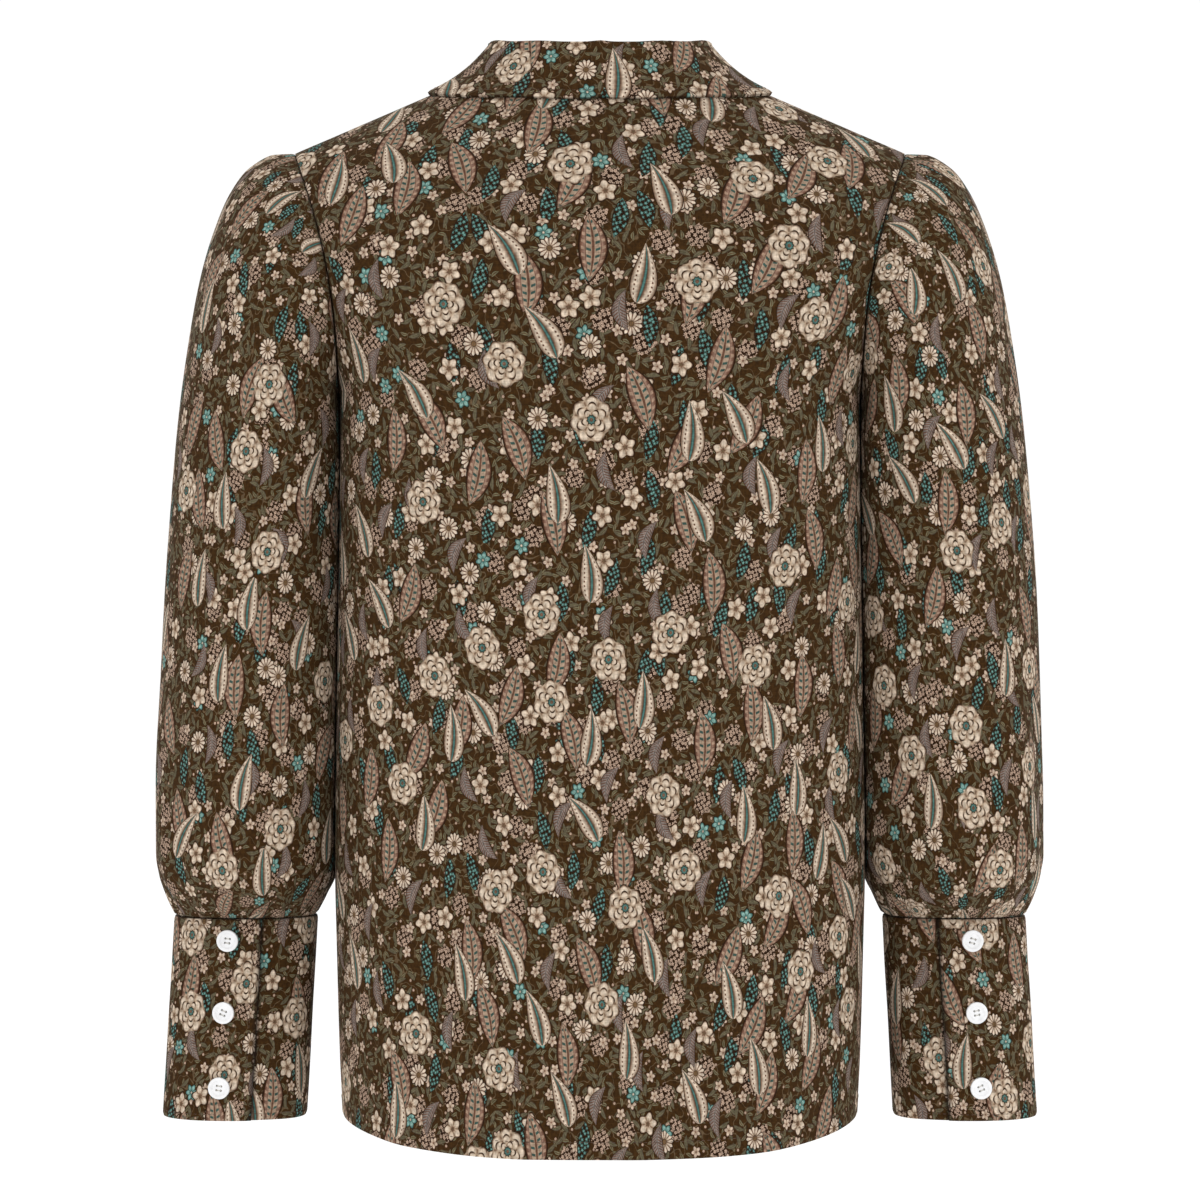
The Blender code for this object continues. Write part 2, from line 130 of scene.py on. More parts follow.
SLEEVE = (
    Ring(0, 192.0, -53.5, 163.0, -205, 61, 0),
    Ring(1, 204.5, -54.2, 163.6, -209, 65, 0),
    Ring(2, 220.5, -63.0, 163.0, -214, 67.5, 0),
    Ring(3, 232.5, -79.0, 162.0, -221, 68, 1),
    Ring(4, 243.2, -105.2, 161.0, -231, 67, 1),
    Ring(5, 251.6, -136.0, 160.5, -246, 65, 2),
    Ring(6, 258.5, -175.8, 160.5, -268, 63, 3),
    Ring(7, 264.6, -220.0, 160.8, -292, 61.5, 4),
    Ring(8, 270.5, -284.0, 161.0, -327, 61, 5),
    Ring(9, 274.6, -338.0, 161.5, -360, 61.5, 6),
    Ring(10, 278.0, -405.0, 162.0, -413, 63, 7),
    Ring(11, 279.8, -460.5, 162.5, -463, 65, 8),
    Ring(12, 280.0, -492.0, 163.0, -492, 66, 9),
    Ring(13, 278.0, -506.0, 167.0, -508.5, 62.5, 9),
    Ring(14, 273.8, -519.5, 172.4, -520.5, 52, 10),
    Ring(15, 267.8, -533.4, 179.6, -533.4, 31.3, 10),
)
Cuff = namedtuple("Cuff", "fall z middle_x half_width half_depth forward")
CUFF = (
    Cuff(0, -533.7, 223.8, 45.2, 31.8, 10),
    Cuff(1, -659.8, 231.2, 45.6, 33.0, 13),
)
Fold = namedtuple("Fold", "angle rise lean bow edge_angle edge_level")
COLLAR = (
    Fold(0, 28.6, -4, -0.4, 0, -7.6),
    Fold(30, 24.5, -3.5, -0.8, 30, -11.4),
    Fold(60, 17.8, -2, -2.4, 60, -17.6),
    Fold(75, 16.9, -1, -3.0, 75, -18.4),
    Fold(90, 16.2, 0, -2.6, 90, -16.8),
    Fold(135, 14.5, 0, 0.5, 145, -30),
    Fold(180, 12, 0, 1.2, 168, -82),
)
print(len(BODY), "body sections,", len(SLEEVE), "sleeve rings")


# %% Read a table as smooth curves
def smooth_curve(table, key, column):
    """A function of the key column: a smooth curve through the rows of another, which it never overshoots."""
    rows = sorted(table, key=lambda row: getattr(row, key))
    places = [getattr(row, key) for row in rows]
    values = [getattr(row, column) for row in rows]
    slopes = [(values[i + 1] - values[i]) / (places[i + 1] - places[i]) for i in range(len(rows) - 1)]
    tangents = [slopes[0]]
    for before, after in zip(slopes, slopes[1:]):
        tangents.append(2 * before * after / (before + after) if before * after > 0 else 0.0)
    tangents.append(slopes[-1])

    def read(at):
        i = max(0, min(len(slopes) - 1, sum(place <= at for place in places) - 1))
        length = places[i + 1] - places[i]
        share = (at - places[i]) / length
        if share < 0:
            return values[i] + tangents[i] * share * length
        if share > 1:
            return values[i + 1] + tangents[i + 1] * (share - 1) * length
        rise = values[i + 1] - values[i]
        bend_in = tangents[i] * length - rise
        bend_out = rise - tangents[i + 1] * length
        return values[i] + rise * share + share * (1 - share) * ((1 - share) * bend_in + share * bend_out)

    return read


def row_reader(table):
    """A function that gives a whole row of a table at any place in its first column, off smooth curves."""
    kind = type(table[0])
    curves = [smooth_curve(table, kind._fields[0], column) for column in kind._fields[1:]]
    return functools.lru_cache(maxsize=None)(lambda at: kind(at, *(curve(at) for curve in curves)))


body_row, side_row, sleeve_ring, cuff_row, fold_row = map(row_reader, (BODY, SIDE, SLEEVE, CUFF, COLLAR))
print("at the underarm:", body_row(UNDERARM_Z))


def oval(angle, squareness):
    """The two sides of a rounded oval of half width 1: 1 and 0 at no angle, and 0 and 1 at 90 degrees."""
    sides = math.cos(math.radians(angle)), math.sin(math.radians(angle))
    return [math.copysign(abs(side) ** (2 / squareness), side) for side in sides]


def between(first, last, share):
    return first + (last - first) * share


def ease(share):
    """A smooth step from 0 to 1."""
    share = max(0.0, min(1.0, share))
    return share * share * (3 - 2 * share)


# %% Sections of the body
def armhole_turn(level):
    """The angle down the armhole from the shoulder point (0) to the underarm (180)."""
    half = (SHOULDER_Z - UNDERARM_Z) / 2
    return math.degrees(math.acos(max(-1.0, min(1.0, (level - UNDERARM_Z - half) / half))))


def armhole_level(turn):
    half = (SHOULDER_Z - UNDERARM_Z) / 2
    return UNDERARM_Z + half + half * math.cos(math.radians(turn))


def armhole_x(z, face):
    """Half width across the blouse from one armhole seam to the other."""
    share = max(0.0, min(1.0, (z - UNDERARM_Z) / (SHOULDER_Z - UNDERARM_Z)))
    slope = (SHOULDER_HALF_WIDTH - UNDERARM_HALF_WIDTH) * share ** ARMHOLE_CURVE
    return UNDERARM_HALF_WIDTH + slope - ARMHOLE_HOLLOW[face] * math.sin(math.pi * share)


@functools.lru_cache(maxsize=None)
def body_section(level, face):
    """Half width, depth, squareness, drop and edge of the body at a level; face is 1 behind, -1 in front."""
    row = body_row(level)
    depth = row.back_depth if face > 0 else row.front_depth
    drop = row.back_drop if face > 0 else row.front_drop
    edge = SEAM_GAP / 2
    if level >= SHOULDER_Z:
        half_width = between(NECK_HALF_WIDTH, SHOULDER_HALF_WIDTH, level / SHOULDER_Z)
    elif level <= UNDERARM_Z:
        half_width = side_row(level).half_width
    else:
        edge = max(edge, ARMHOLE_REACH[face] * math.sin(math.radians(armhole_turn(level))))
        share = (edge / depth) ** row.squareness
        half_width = armhole_x(level - drop * share, face) / (1 - share) ** (1 / row.squareness)
    return half_width, depth, row.squareness, drop, edge


def form_point(angle, level):
    """A point on the body's form: angle 0 is the middle of the back, 90 the left side, 180 the front."""
    face = 1 if math.cos(math.radians(angle)) >= 0 else -1
    half_width, depth, squareness, drop, _ = body_section(level, face)
    power = UPPER_DROP_POWER if level > UNDERARM_Z else HEM_DROP_POWER
    deep, across = oval(angle, squareness)
    fall = drop * (1 - abs(math.sin(math.radians(angle))) ** power)
    return Vector((half_width * across, depth * deep, level - fall))


def form_normal(angle, level):
    across = form_point(angle + 0.5, level) - form_point(angle - 0.5, level)
    along = form_point(angle, level - 0.5) - form_point(angle, level + 0.5)
    return across.cross(along).normalized()


def edge_angle(level, face):
    """The angle from the middle of the back or front at which a panel ends: at a seam or at the armhole."""
    _, depth, squareness, _, edge = body_section(level, face)
    return math.degrees(math.acos((edge / depth) ** (squareness / 2)))


print("middle of the back at the hem:", [round(value, 1) for value in form_point(0, HEM_SIDE_Z)], "mm")


# %% [markdown]
# ## Even columns
# A section is wide and flat, so equal angles would give wide faces in the middle and narrow ones at the
# sides. Cloth is measured with a tape instead: each section is measured once along its curve, and a column of
# the grid lies at an equal share of that length.

# %% Measure a curve as a tape would
TAPE_STEPS = 48


def tape(points):
    """Lengths along a row of points, from its start to each point."""
    lengths = [0.0]
    for first, second in zip(points, points[1:]):
        lengths.append(lengths[-1] + (second - first).length)
    return lengths


def read_tape(keys, lengths, length):
    """The key at a length along a measured curve."""
    low, high = 0, len(lengths) - 1
    while high - low > 1:
        middle = (low + high) // 2
        low, high = (middle, high) if lengths[middle] <= length else (low, middle)
    share = (length - lengths[low]) / (lengths[high] - lengths[low])
    return between(keys[low], keys[high], share)


@functools.lru_cache(maxsize=None)
def section_tape(level, face):
    """Angles from the middle of the back or front to the panel's edge, and the lengths to them."""
    last = edge_angle(level, face)
    angles = [last * (i / TAPE_STEPS) ** 1.4 for i in range(TAPE_STEPS + 1)]
    return angles, tape([form_point(angle if face > 0 else 180 - angle, level) for angle in angles])


def panel_angle(level, face, length):
    """The angle from the middle at which a section has a given length along it; both may be negative."""
    angles, lengths = section_tape(level, face)
    return math.copysign(read_tape(angles, lengths, abs(length)), length)


print("half chest at the underarm", round(section_tape(UNDERARM_Z, 1)[1][-1]), "mm on the back,",
      round(section_tape(UNDERARM_Z, -1)[1][-1]), "mm on the front")

# %% [markdown]
# ## A slab of cloth
# Every piece is sewn from flat cloth, and it is modelled in the same order. A flat grid is added, extruded
# once so that it has a face and a reverse, and then bent: each point moves to its place on the form and along
# the form's normal. The grid's own map is replaced by the cloth laid flat, in metres, which also gives the
# size that it is cut to. The print is drawn on that map, squeezed across where a piece is printed to its
# shape. Solidify would be shorter, but its walls cross where two panels meet at an edge.

# %% Edit mode, selection and a flat grid
def select_none():
    bpy.ops.object.select_all(action="DESELECT")


@contextlib.contextmanager
def edit_mode(action=None):
    """Edit mode for the active object, with all or none of it selected if asked; then object mode again."""
    bpy.ops.object.mode_set(mode="EDIT")
    if action:
        bpy.ops.mesh.select_all(action=action)
    yield
    bpy.ops.object.mode_set(mode="OBJECT")


def select_faces(piece, wanted):
    """Select the faces that a test picks, and no others."""
    with edit_mode("DESELECT"):
        bpy.ops.mesh.select_mode(type="FACE")
    for face in piece.data.polygons:
        face.select = wanted(face)


def unit_grid(name, columns, rows):
    """A flat grid of size 1, whose columns run across and whose rows run down."""
    select_none()
    bpy.ops.mesh.primitive_grid_add(x_subdivisions=columns, y_subdivisions=rows, size=1)
    grid = bpy.context.object
    grid.name = grid.data.name = name
    return grid


def grid_key(point, columns, rows):
    """The column and the row of a point of that grid, counted from its top left."""
    return round((point.x + 0.5) * columns), round((0.5 - point.y) * rows)


print("the top left corner of a grid has the key", grid_key(Vector((-0.5, 0.5)), 10, 20))

# %% Lay bent cloth flat with a tape
# The last field, seam, is painted shade: how far the colour at a point is darkened, as in a seam's groove or
# under an edge.
Place = namedtuple("Place", "point normal relief thickness seam", defaults=(0.0,))


def cloth_map(places, columns, rows, middle):
    """Lengths along the bent cloth, as complex numbers in metres, across from its middle column and up."""
    flat = {}
    for j in range(rows + 1):
        lengths = tape([places[i, j].point for i in range(columns + 1)])
        for i in range(columns + 1):
            flat[i, j] = complex(lengths[i] - lengths[middle], 0) * MM
    for i in range(columns + 1):
        lengths = tape([places[i, j].point for j in range(rows + 1)])
        for j in range(rows + 1):
            flat[i, j] -= complex(0, lengths[j]) * MM
    return flat


square = {(i, j): Place(Vector((100 * i, 0, -100 * j)), UP, 0, CLOTH) for i in (0, 1) for j in (0, 1)}
print("a square of 100 mm lies flat with its far corner at", cloth_map(square, 1, 1, 0)[1, 1], "m")

# %% Lay a sleeve flat with its print upright
CAP_MAP = 62.0


def upright_map(places, columns, rows, middle):
    """The same for a tube whose rows tilt, measured round it at one height, so the print stays upright."""
    strips = [[places[i, j].point for j in range(rows + 1)] for i in range(columns + 1)]
    drops = [list(itertools.accumulate((-point.z for point in strip), lambda last, z: max(last + 1e-6, z)))
             for strip in strips]
    columns_down = [tape(strip) for strip in strips]
    guide = middle + columns // 4

    def at_height(i, z):
        j = min(max(bisect.bisect_left(drops[i], -z), 1), rows)
        share = (-z - drops[i][j - 1]) / max(drops[i][j] - drops[i][j - 1], 1e-6)
        return strips[i][j - 1].lerp(strips[i][j], min(max(share, 0.0), 1.0))

    def half_round(z, end):
        step = 1 if end > middle else -1
        return tape([at_height(k, z) for k in range(middle, end + step, step)])[-1]

    cap_drop = drops[guide][0] + CAP_MAP
    widest = max((half_round(places[columns, j].point.z, columns), -places[columns, j].point.z)
                 for j in range(rows // 3, rows))
    flat = {}
    for (i, j), place in places.items():
        z = place.point.z
        step = 1 if i > middle else -1
        ring = [at_height(k, z) for k in range(middle, i, step)] + [place.point]
        length = tape(ring)[-1] * step if i != middle else 0.0
        if -z > widest[1]:
            length *= widest[0] / half_round(z, columns if i > middle else 0)
        down = read_tape(columns_down[guide], drops[guide], max(-z, cap_drop))
        if -z < cap_drop:
            down -= read_tape(columns_down[i], drops[i], cap_drop) - columns_down[i][j]
        flat[i, j] = complex(length, -down) * MM
    return flat


print("down to", CAP_MAP, "mm under the middle of the armhole, the print runs along each column of a sleeve")


# %% Lay cloth flat with unwrap, and measure its cut
def outline_area(corners):
    """Area inside corners given as complex numbers."""
    return abs(sum((a.conjugate() * b).imag for a, b in zip(corners, corners[1:] + corners[:1]))) / 2


def unwrapped_map(places, columns, rows, middle):
    """The same by laying the cloth flat with unwrap, at its real size, with its middle column upright."""
    grid = unit_grid("laid flat", columns, rows)
    mesh = grid.data
    keys = [grid_key(vertex.co, columns, rows) for vertex in mesh.vertices]
    for vertex, key in zip(mesh.vertices, keys):
        vertex.co = places[key].point * MM
    with edit_mode("SELECT"):
        bpy.ops.uv.unwrap(method="ANGLE_BASED", margin=0)
    spots = {keys[loop.vertex_index]: complex(*mesh.uv_layers[0].data[loop.index].uv) for loop in mesh.loops}
    drawn = sum(outline_area([spots[keys[v]] for v in face.vertices]) for face in mesh.polygons)
    size = math.sqrt(sum(face.area for face in mesh.polygons) / drawn)
    down = spots[middle, rows] - spots[middle, 0]
    turn = -1j * abs(down) / down * size
    bpy.data.objects.remove(grid)
    return {key: (spot - spots[middle, 0]) * turn for key, spot in spots.items()}


def cut_of(flat, columns, rows):
    """Width, length and area of a piece laid flat."""
    across = [spot.real for spot in flat.values()]
    down = [spot.imag for spot in flat.values()]
    area = sum(outline_area([flat[i, j], flat[i + 1, j], flat[i + 1, j + 1], flat[i, j + 1]])
               for i in range(columns) for j in range(rows))
    return max(across) - min(across), max(down) - min(down), area


print("an outline of a unit square has an area of", outline_area([0, 1, 1 + 1j, 1j]))

# %% Bend a slab onto a form
SIDES = (("left", 1), ("right", -1))
pieces = {}
cuts = {}


def on_side(side, point, normal, *rest):
    """A Place worked out on the left, which is side 1, or mirrored to the right, which is side -1."""
    point, normal = (Vector((side * part.x, part.y, part.z)) for part in (point, normal))
    return Place(point, normal, *rest)


def unsqueezed(down):
    return 1.0


def sew(name, columns, rows, place, print_start, lay_flat, middle=0.5, squeeze=unsqueezed, closed=False):
    """One piece of cloth; place gives a Place for shares across and down, and closed joins its two sides."""
    places = {(i, j): place(i / columns, j / rows) for i in range(columns + 1) for j in range(rows + 1)}
    flat = lay_flat(places, columns, rows, round(middle * columns))
    cuts[name] = cut_of(flat, columns, rows)
    piece = unit_grid(name, columns, rows)
    mesh = piece.data
    with edit_mode("SELECT"):
        bpy.ops.mesh.extrude_region_move(TRANSFORM_OT_translate={"value": (0, 0, -1)})
    if closed:
        select_faces(piece, lambda face: abs(face.normal.x) > 0.9)
        with edit_mode():
            bpy.ops.mesh.delete(type="FACE")
    layers = [(*grid_key(vertex.co, columns, rows), vertex.co.z < -0.5) for vertex in mesh.vertices]
    for loop in mesh.loops:
        i, j, _ = layers[loop.vertex_index]
        spot = flat[i, j]
        mesh.uv_layers[0].data[loop.index].uv = (spot.real * squeeze(j / rows) + print_start[0],
                                                 spot.imag + print_start[1])
    mesh.uv_layers[0].name = "Cloth"
    for vertex, (i, j, reverse) in zip(mesh.vertices, layers):
        at = places[i, j]
        vertex.co = (at.point + at.normal * (at.relief - (at.thickness if reverse else 0))) * MM
    # The seam attribute hands the painted shade of seams and edges to the material.
    shade = mesh.attributes.new("seam", "FLOAT", "POINT")
    shade.data.foreach_set("value", [places[i, j].seam for i, j, _ in layers])
    for face in mesh.polygons:
        face.material_index = 1 if all(layers[v][2] for v in face.vertices) else 0
    with edit_mode("SELECT"):
        if closed:
            bpy.ops.mesh.remove_doubles(threshold=0.00001)
        bpy.ops.mesh.normals_make_consistent(inside=False)
    bpy.ops.object.shade_smooth_by_angle(angle=math.radians(50))
    pieces[name] = piece
    cloth_area = sum(face.area for face in mesh.polygons) / 2
    print(name, len(mesh.polygons), "faces,", round(cloth_area, 3), "m2 of cloth")


def crowd(share, amount):
    """A share from 0 to 1 with its steps drawn closer together near both ends."""
    return share - amount * math.sin(2 * math.pi * share) / (2 * math.pi)


# %% [markdown]
# ## Seams, hems and creases
# At a seam both layers turn in, so it shows as a fine groove and not as a butt joint; its dark line is partly
# the real shade of that groove and partly painted shade, darkening the cloth's colour along seams and lapped
# edges. A hem is turned up twice, which thickens its edge and leaves a shallow step where it is stitched.
# Worn cloth also carries creases that start at the points of strain. Each crease is a row in a table, so that
# no two of them match in length, depth or spacing, and they fade out before a seam, where the neighbour has
# to meet the edge.

# %% Relief at seams and hems
SEAM_DIP = 0.85
SEAM_DIP_WIDTH = 1.1
SEAM_SHADE_WIDTH = 0.62
SOFT_SEAM = 0.55
SEAM_CALM = 16.0
HEM_HEIGHT = 12.0
HEM_STEP = 0.25
HEM_THICKNESS = 1.9
HEM_DIP = 0.6
PUCKER_DEPTH = 0.22
PUCKER_LENGTH = 9.0
HEM_PUCKER = 1.4


def seam_dip(distance):
    return -SEAM_DIP * math.exp(-((distance / SEAM_DIP_WIDTH) ** 2))


def painted_seam_shade(distance):
    """How strongly painted shade darkens the colour at a seam's groove, from 1 at the seam to 0 beside it."""
    return math.exp(-((distance / SEAM_SHADE_WIDTH) ** 2))


def pucker(distance, along):
    """Small ripples beside a stitched seam, which fade out within a few millimetres."""
    ripple = noise.noise(Vector((along / PUCKER_LENGTH, distance / 20, 3.7)))
    return PUCKER_DEPTH * ripple * math.exp(-distance / 7) * (1 - math.exp(-distance / 1.5))


print("a seam sinks by up to", SEAM_DIP, "mm, and a hem is", HEM_THICKNESS, "mm thick")

# %% Creases of the body
CREASE_WANDER = 4.0
CREASE_FADE = 0.3
Crease = namedtuple("Crease", "across top bottom lean width depth")
BACK_CREASES = (
    Crease(-118, -150, -330, 26, 11, 1.5),
    Crease(-96, -470, -690, -12, 17, 2.4),
    Crease(-61, -120, -250, 14, 10, -1.1),
    Crease(-52, -380, -660, 8, 21, -2.2),
    Crease(-17, -520, -700, -6, 15, 1.9),
    Crease(24, -300, -560, -10, 19, -1.6),
    Crease(47, -560, -705, 5, 13, 2.0),
    Crease(72, -140, -300, -17, 12, 1.3),
    Crease(88, -410, -650, 11, 20, -2.3),
    Crease(124, -165, -290, -24, 10, 1.6),
    Crease(133, -500, -690, -5, 14, 1.7),
)
FRONT_CREASES = (
    Crease(52, -560, -700, 6, 15, 2.0),
    Crease(70, -250, -470, -9, 18, -1.7),
    Crease(93, -145, -275, 22, 11, 1.5),
    Crease(104, -430, -660, 10, 19, -2.3),
    Crease(131, -240, -400, 17, 12, 1.6),
    Crease(146, -520, -695, -7, 14, 2.1),
)


def creases(table, across, z):
    """Height of the creases at a place on the cloth: long soft ridges, or troughs where depth is negative."""
    height = 0.0
    for crease in table:
        down = (crease.top - z) / (crease.top - crease.bottom)
        if -CREASE_FADE < down < 1 + CREASE_FADE:
            middle = crease.across + crease.lean * down + CREASE_WANDER * math.sin(down * 3.1 + crease.across)
            fade = ease((down / CREASE_FADE + 1) / 2) * ease(((1 - down) / CREASE_FADE + 1) / 2)
            height += crease.depth * fade * math.exp(-(((across - middle) / crease.width) ** 2))
    return height


print(len(BACK_CREASES), "creases on the back and", len(FRONT_CREASES), "on each front")


# %% [markdown]
# ## Back and fronts
# The back is one piece from the neck to the hem. Each front runs from its side seam to its lapped edge, and
# the left one lies under the right one there. They are cut to the form's own seams, the shoulder, the
# armhole and the side, so their edges are lines on the form and not trimmed afterwards.

# %% Rows of a body panel
NECK_ROWS = 0.13
ARMHOLE_ROWS = 0.40
ROW_SHIFT = 10.0
HEM_SQUEEZE = 1.30
PANEL_CROWD = 0.75


def even_turn(turn):
    """A turn round the armhole, moved so that equal steps share its height evenly."""
    return turn + ROW_SHIFT * math.sin(math.radians(2 * turn))


def panel_level(down):
    """The level of a row: the neck and shoulder seams, then the armhole, then the side seam."""
    if down <= NECK_ROWS:
        return SHOULDER_Z * down / NECK_ROWS
    if down <= ARMHOLE_ROWS:
        return armhole_level(even_turn(180 * (down - NECK_ROWS) / (ARMHOLE_ROWS - NECK_ROWS)))
    share = (down - ARMHOLE_ROWS) / (1 - ARMHOLE_ROWS)
    return between(UNDERARM_Z, HEM_SIDE_Z, 1 - (1 - share) ** 1.25)


def body_squeeze(down):
    """How many times narrower the print is than it was drawn: once at the shoulders and most at the hem."""
    return between(1, HEM_SQUEEZE, ease((down - 0.05) / 0.9))


print("panel rows lie at", [round(panel_level(down / 5)) for down in range(6)], "mm")


# %% Places on the back and the fronts
def panel_relief(table, level, face, length, whole, z):
    """Relief of a panel at a length from its middle, its thickness there, and how much painted shade darkens
    its seams.
    """
    to_seam = whole - abs(length)
    to_hem = level - HEM_SIDE_Z
    calm = ease(to_seam / SEAM_CALM) * ease(-level / 60)
    seam = between(SOFT_SEAM, 1, ease((UNDERARM_Z - level) / 10))
    hem = ease((HEM_HEIGHT - to_hem) / 1.5)
    relief = creases(table, length if face > 0 else abs(length), z) * calm
    relief += seam_dip(to_seam) * seam + pucker(to_seam, z) + pucker(to_hem, length) * HEM_PUCKER
    relief += HEM_STEP * hem + seam_dip(to_hem) * HEM_DIP
    return relief, between(CLOTH, HEM_THICKNESS, hem), painted_seam_shade(to_seam) * seam


def back_place(across, down):
    level = panel_level(down)
    whole = section_tape(level, 1)[1][-1]
    length = whole * (2 * crowd(across, PANEL_CROWD) - 1)
    angle = panel_angle(level, 1, length)
    point = form_point(angle, level)
    relief = panel_relief(BACK_CREASES, level, 1, length, whole, point.z)
    return Place(point, form_normal(angle, level), *relief)


def front_place(side, across, down):
    """A place on a front; side is 1 for the left, which lies under the right along the lap."""
    level = panel_level(down)
    whole = section_tape(level, -1)[1][-1]
    length = between(-LAP_HALF_WIDTH, whole, crowd(across, PANEL_CROWD))
    angle = 180 - panel_angle(level, -1, length)
    point = form_point(angle, level)
    normal = form_normal(angle, level)
    relief, thickness, shade = panel_relief(FRONT_CREASES, level, -1, length, whole, point.z)
    if side > 0:
        relief -= UNDERLAP_SINK * (1 - ease((point.x - LAP_HALF_WIDTH) / LAP_FADE))
    else:
        relief += seam_dip(length + LAP_HALF_WIDTH) * 0.5
        # Painted shadow along the right front's lapped edge, where it lies over the left front.
        shade = max(shade, painted_seam_shade(length + LAP_HALF_WIDTH))
    return on_side(side, point, normal, relief, thickness, shade)


print("middle of the back's neck seam at", back_place(0.5, 0.0).point, "mm")

# %% Sew the back and the fronts
PANEL_ROWS = 150
sew("back_cloth", 88, PANEL_ROWS, back_place, (1.0, 1.0), unwrapped_map, squeeze=body_squeeze)
for word, side in SIDES:
    sew(f"front_{word}_cloth", 56, PANEL_ROWS, functools.partial(front_place, side), (3.0, 2.0 + side),
        unwrapped_map, middle=0.1, squeeze=body_squeeze)

# %% [markdown]
# ## Sleeves
# A lantern sleeve is cut far wider than the arm. It is eased into the armhole at the top and gathered into
# the cuff at the bottom, where the spare width makes small folds that die out upwards. Its rings start on the
# armhole and turn level on the way down. Where it hangs against the side of the body it is flattened there
# and stays smooth.

# %% Rings of a sleeve
SLEEVE_SQUARENESS = 2.15
SLEEVE_SEAT_FADE = 5.0
SLEEVE_CLEARANCE = 0.7
LAST_STATION = 15
CONTACT_FADE = 14.0
SLEEVE_SQUEEZE = 1.32
SLEEVE_CROWD = 0.72
HALF_GIRTH = 2.7  # a little under half the way round a sleeve, for each millimetre of its half depth


def armhole_point(turn):
    """A point round the left armhole: turn 0 is the shoulder point, 90 the back, 180 the underarm."""
    face = 1 if math.sin(math.radians(turn)) >= 0 else -1
    level = armhole_level(turn)
    angle = edge_angle(level, face)
    return form_point(angle if face > 0 else 180 - angle, level)


def plain_ring_point(turn, station):
    """A point on the sleeve as if the armhole were a plain oval."""
    ring = sleeve_ring(station)
    outer = Vector((ring.outer_x, -ring.forward, ring.outer_z))
    inner = Vector((ring.inner_x, -ring.forward, ring.inner_z))
    height, reach = oval(turn, SLEEVE_SQUARENESS)
    return (outer + inner) / 2 + (outer - inner) / 2 * height + Vector((0, ring.half_depth * reach, 0))


def body_side(point):
    """Half width of the body at the height and depth of a point."""
    half_width, depth, squareness, _, _ = body_section(min(point.z, UNDERARM_Z), 1 if point.y >= 0 else -1)
    share = min(1.0, abs(point.y) / depth) ** squareness
    return half_width * (1 - share) ** (1 / squareness)


def sleeve_point(turn, station):
    """A point on the left sleeve, which starts on the armhole and is kept clear of the body."""
    point = plain_ring_point(turn, station)
    seat = 1 - ease(station / SLEEVE_SEAT_FADE)
    if seat > 0:
        seam = Vector((SHOULDER_Z - UNDERARM_Z, 0, UNDERARM_HALF_WIDTH - SHOULDER_HALF_WIDTH)).normalized()
        point += (armhole_point(turn) + seam * SEAM_GAP - plain_ring_point(turn, 0)) * seat
    clearance = between(SEAM_GAP, SLEEVE_CLEARANCE, min(1, station))
    return Vector((max(point.x, body_side(point) + clearance), point.y, point.z))


first_level = next(ring.station for ring in SLEEVE if ring.outer_z == ring.inner_z)
level_ring = tape([sleeve_point(turn, first_level) for turn in range(0, 361, 5)])
print("where its rings turn level, a sleeve is", round(level_ring[-1]), "mm round")

# %% Creases and gathers of a sleeve
SLEEVE_CREASES = (
    Crease(-150, -110, -300, 12, 12, 1.6),
    Crease(-118, -330, -520, -8, 15, -1.9),
    Crease(-84, -90, -230, -16, 10, 1.4),
    Crease(-70, -250, -470, 10, 17, 2.2),
    Crease(-31, -380, -530, 6, 12, -1.7),
    Crease(-6, -120, -360, -9, 16, 1.5),
    Crease(24, -410, -525, 7, 13, 2.1),
    Crease(52, -180, -420, -12, 18, -2.0),
    Crease(79, -95, -210, 15, 10, 1.4),
    Crease(96, -330, -525, -7, 15, 2.2),
    Crease(128, -130, -320, 10, 12, -1.4),
    Crease(157, -390, -520, 6, 13, 1.8),
)
GATHER_DEPTH = 1.5
GATHER_LENGTH = 9.5
GATHER_RISE = 62.0
CAP_EASE_DEPTH = 0.8


def gathers(along, height, seed):
    """Small uneven folds that rise from the cuff seam, each to its own height."""
    where = along / GATHER_LENGTH
    reach = GATHER_RISE * (1 + 0.8 * noise.noise(Vector((where * 0.6, seed, 1.3))))
    wander = 0.9 * noise.noise(Vector((where * 0.35, seed, 6.1)))
    wander += 0.25 * height / GATHER_RISE * math.sin(where)
    depth = GATHER_DEPTH * (0.65 + 0.6 * noise.noise(Vector((where * 0.8, seed, 9.7))))
    return depth * math.cos(2 * math.pi * (where + wander)) * (1 - ease(height / reach)) * ease(height / 3)


print(len(SLEEVE_CREASES), "creases on a sleeve, and gathers about", GATHER_LENGTH, "mm apart")


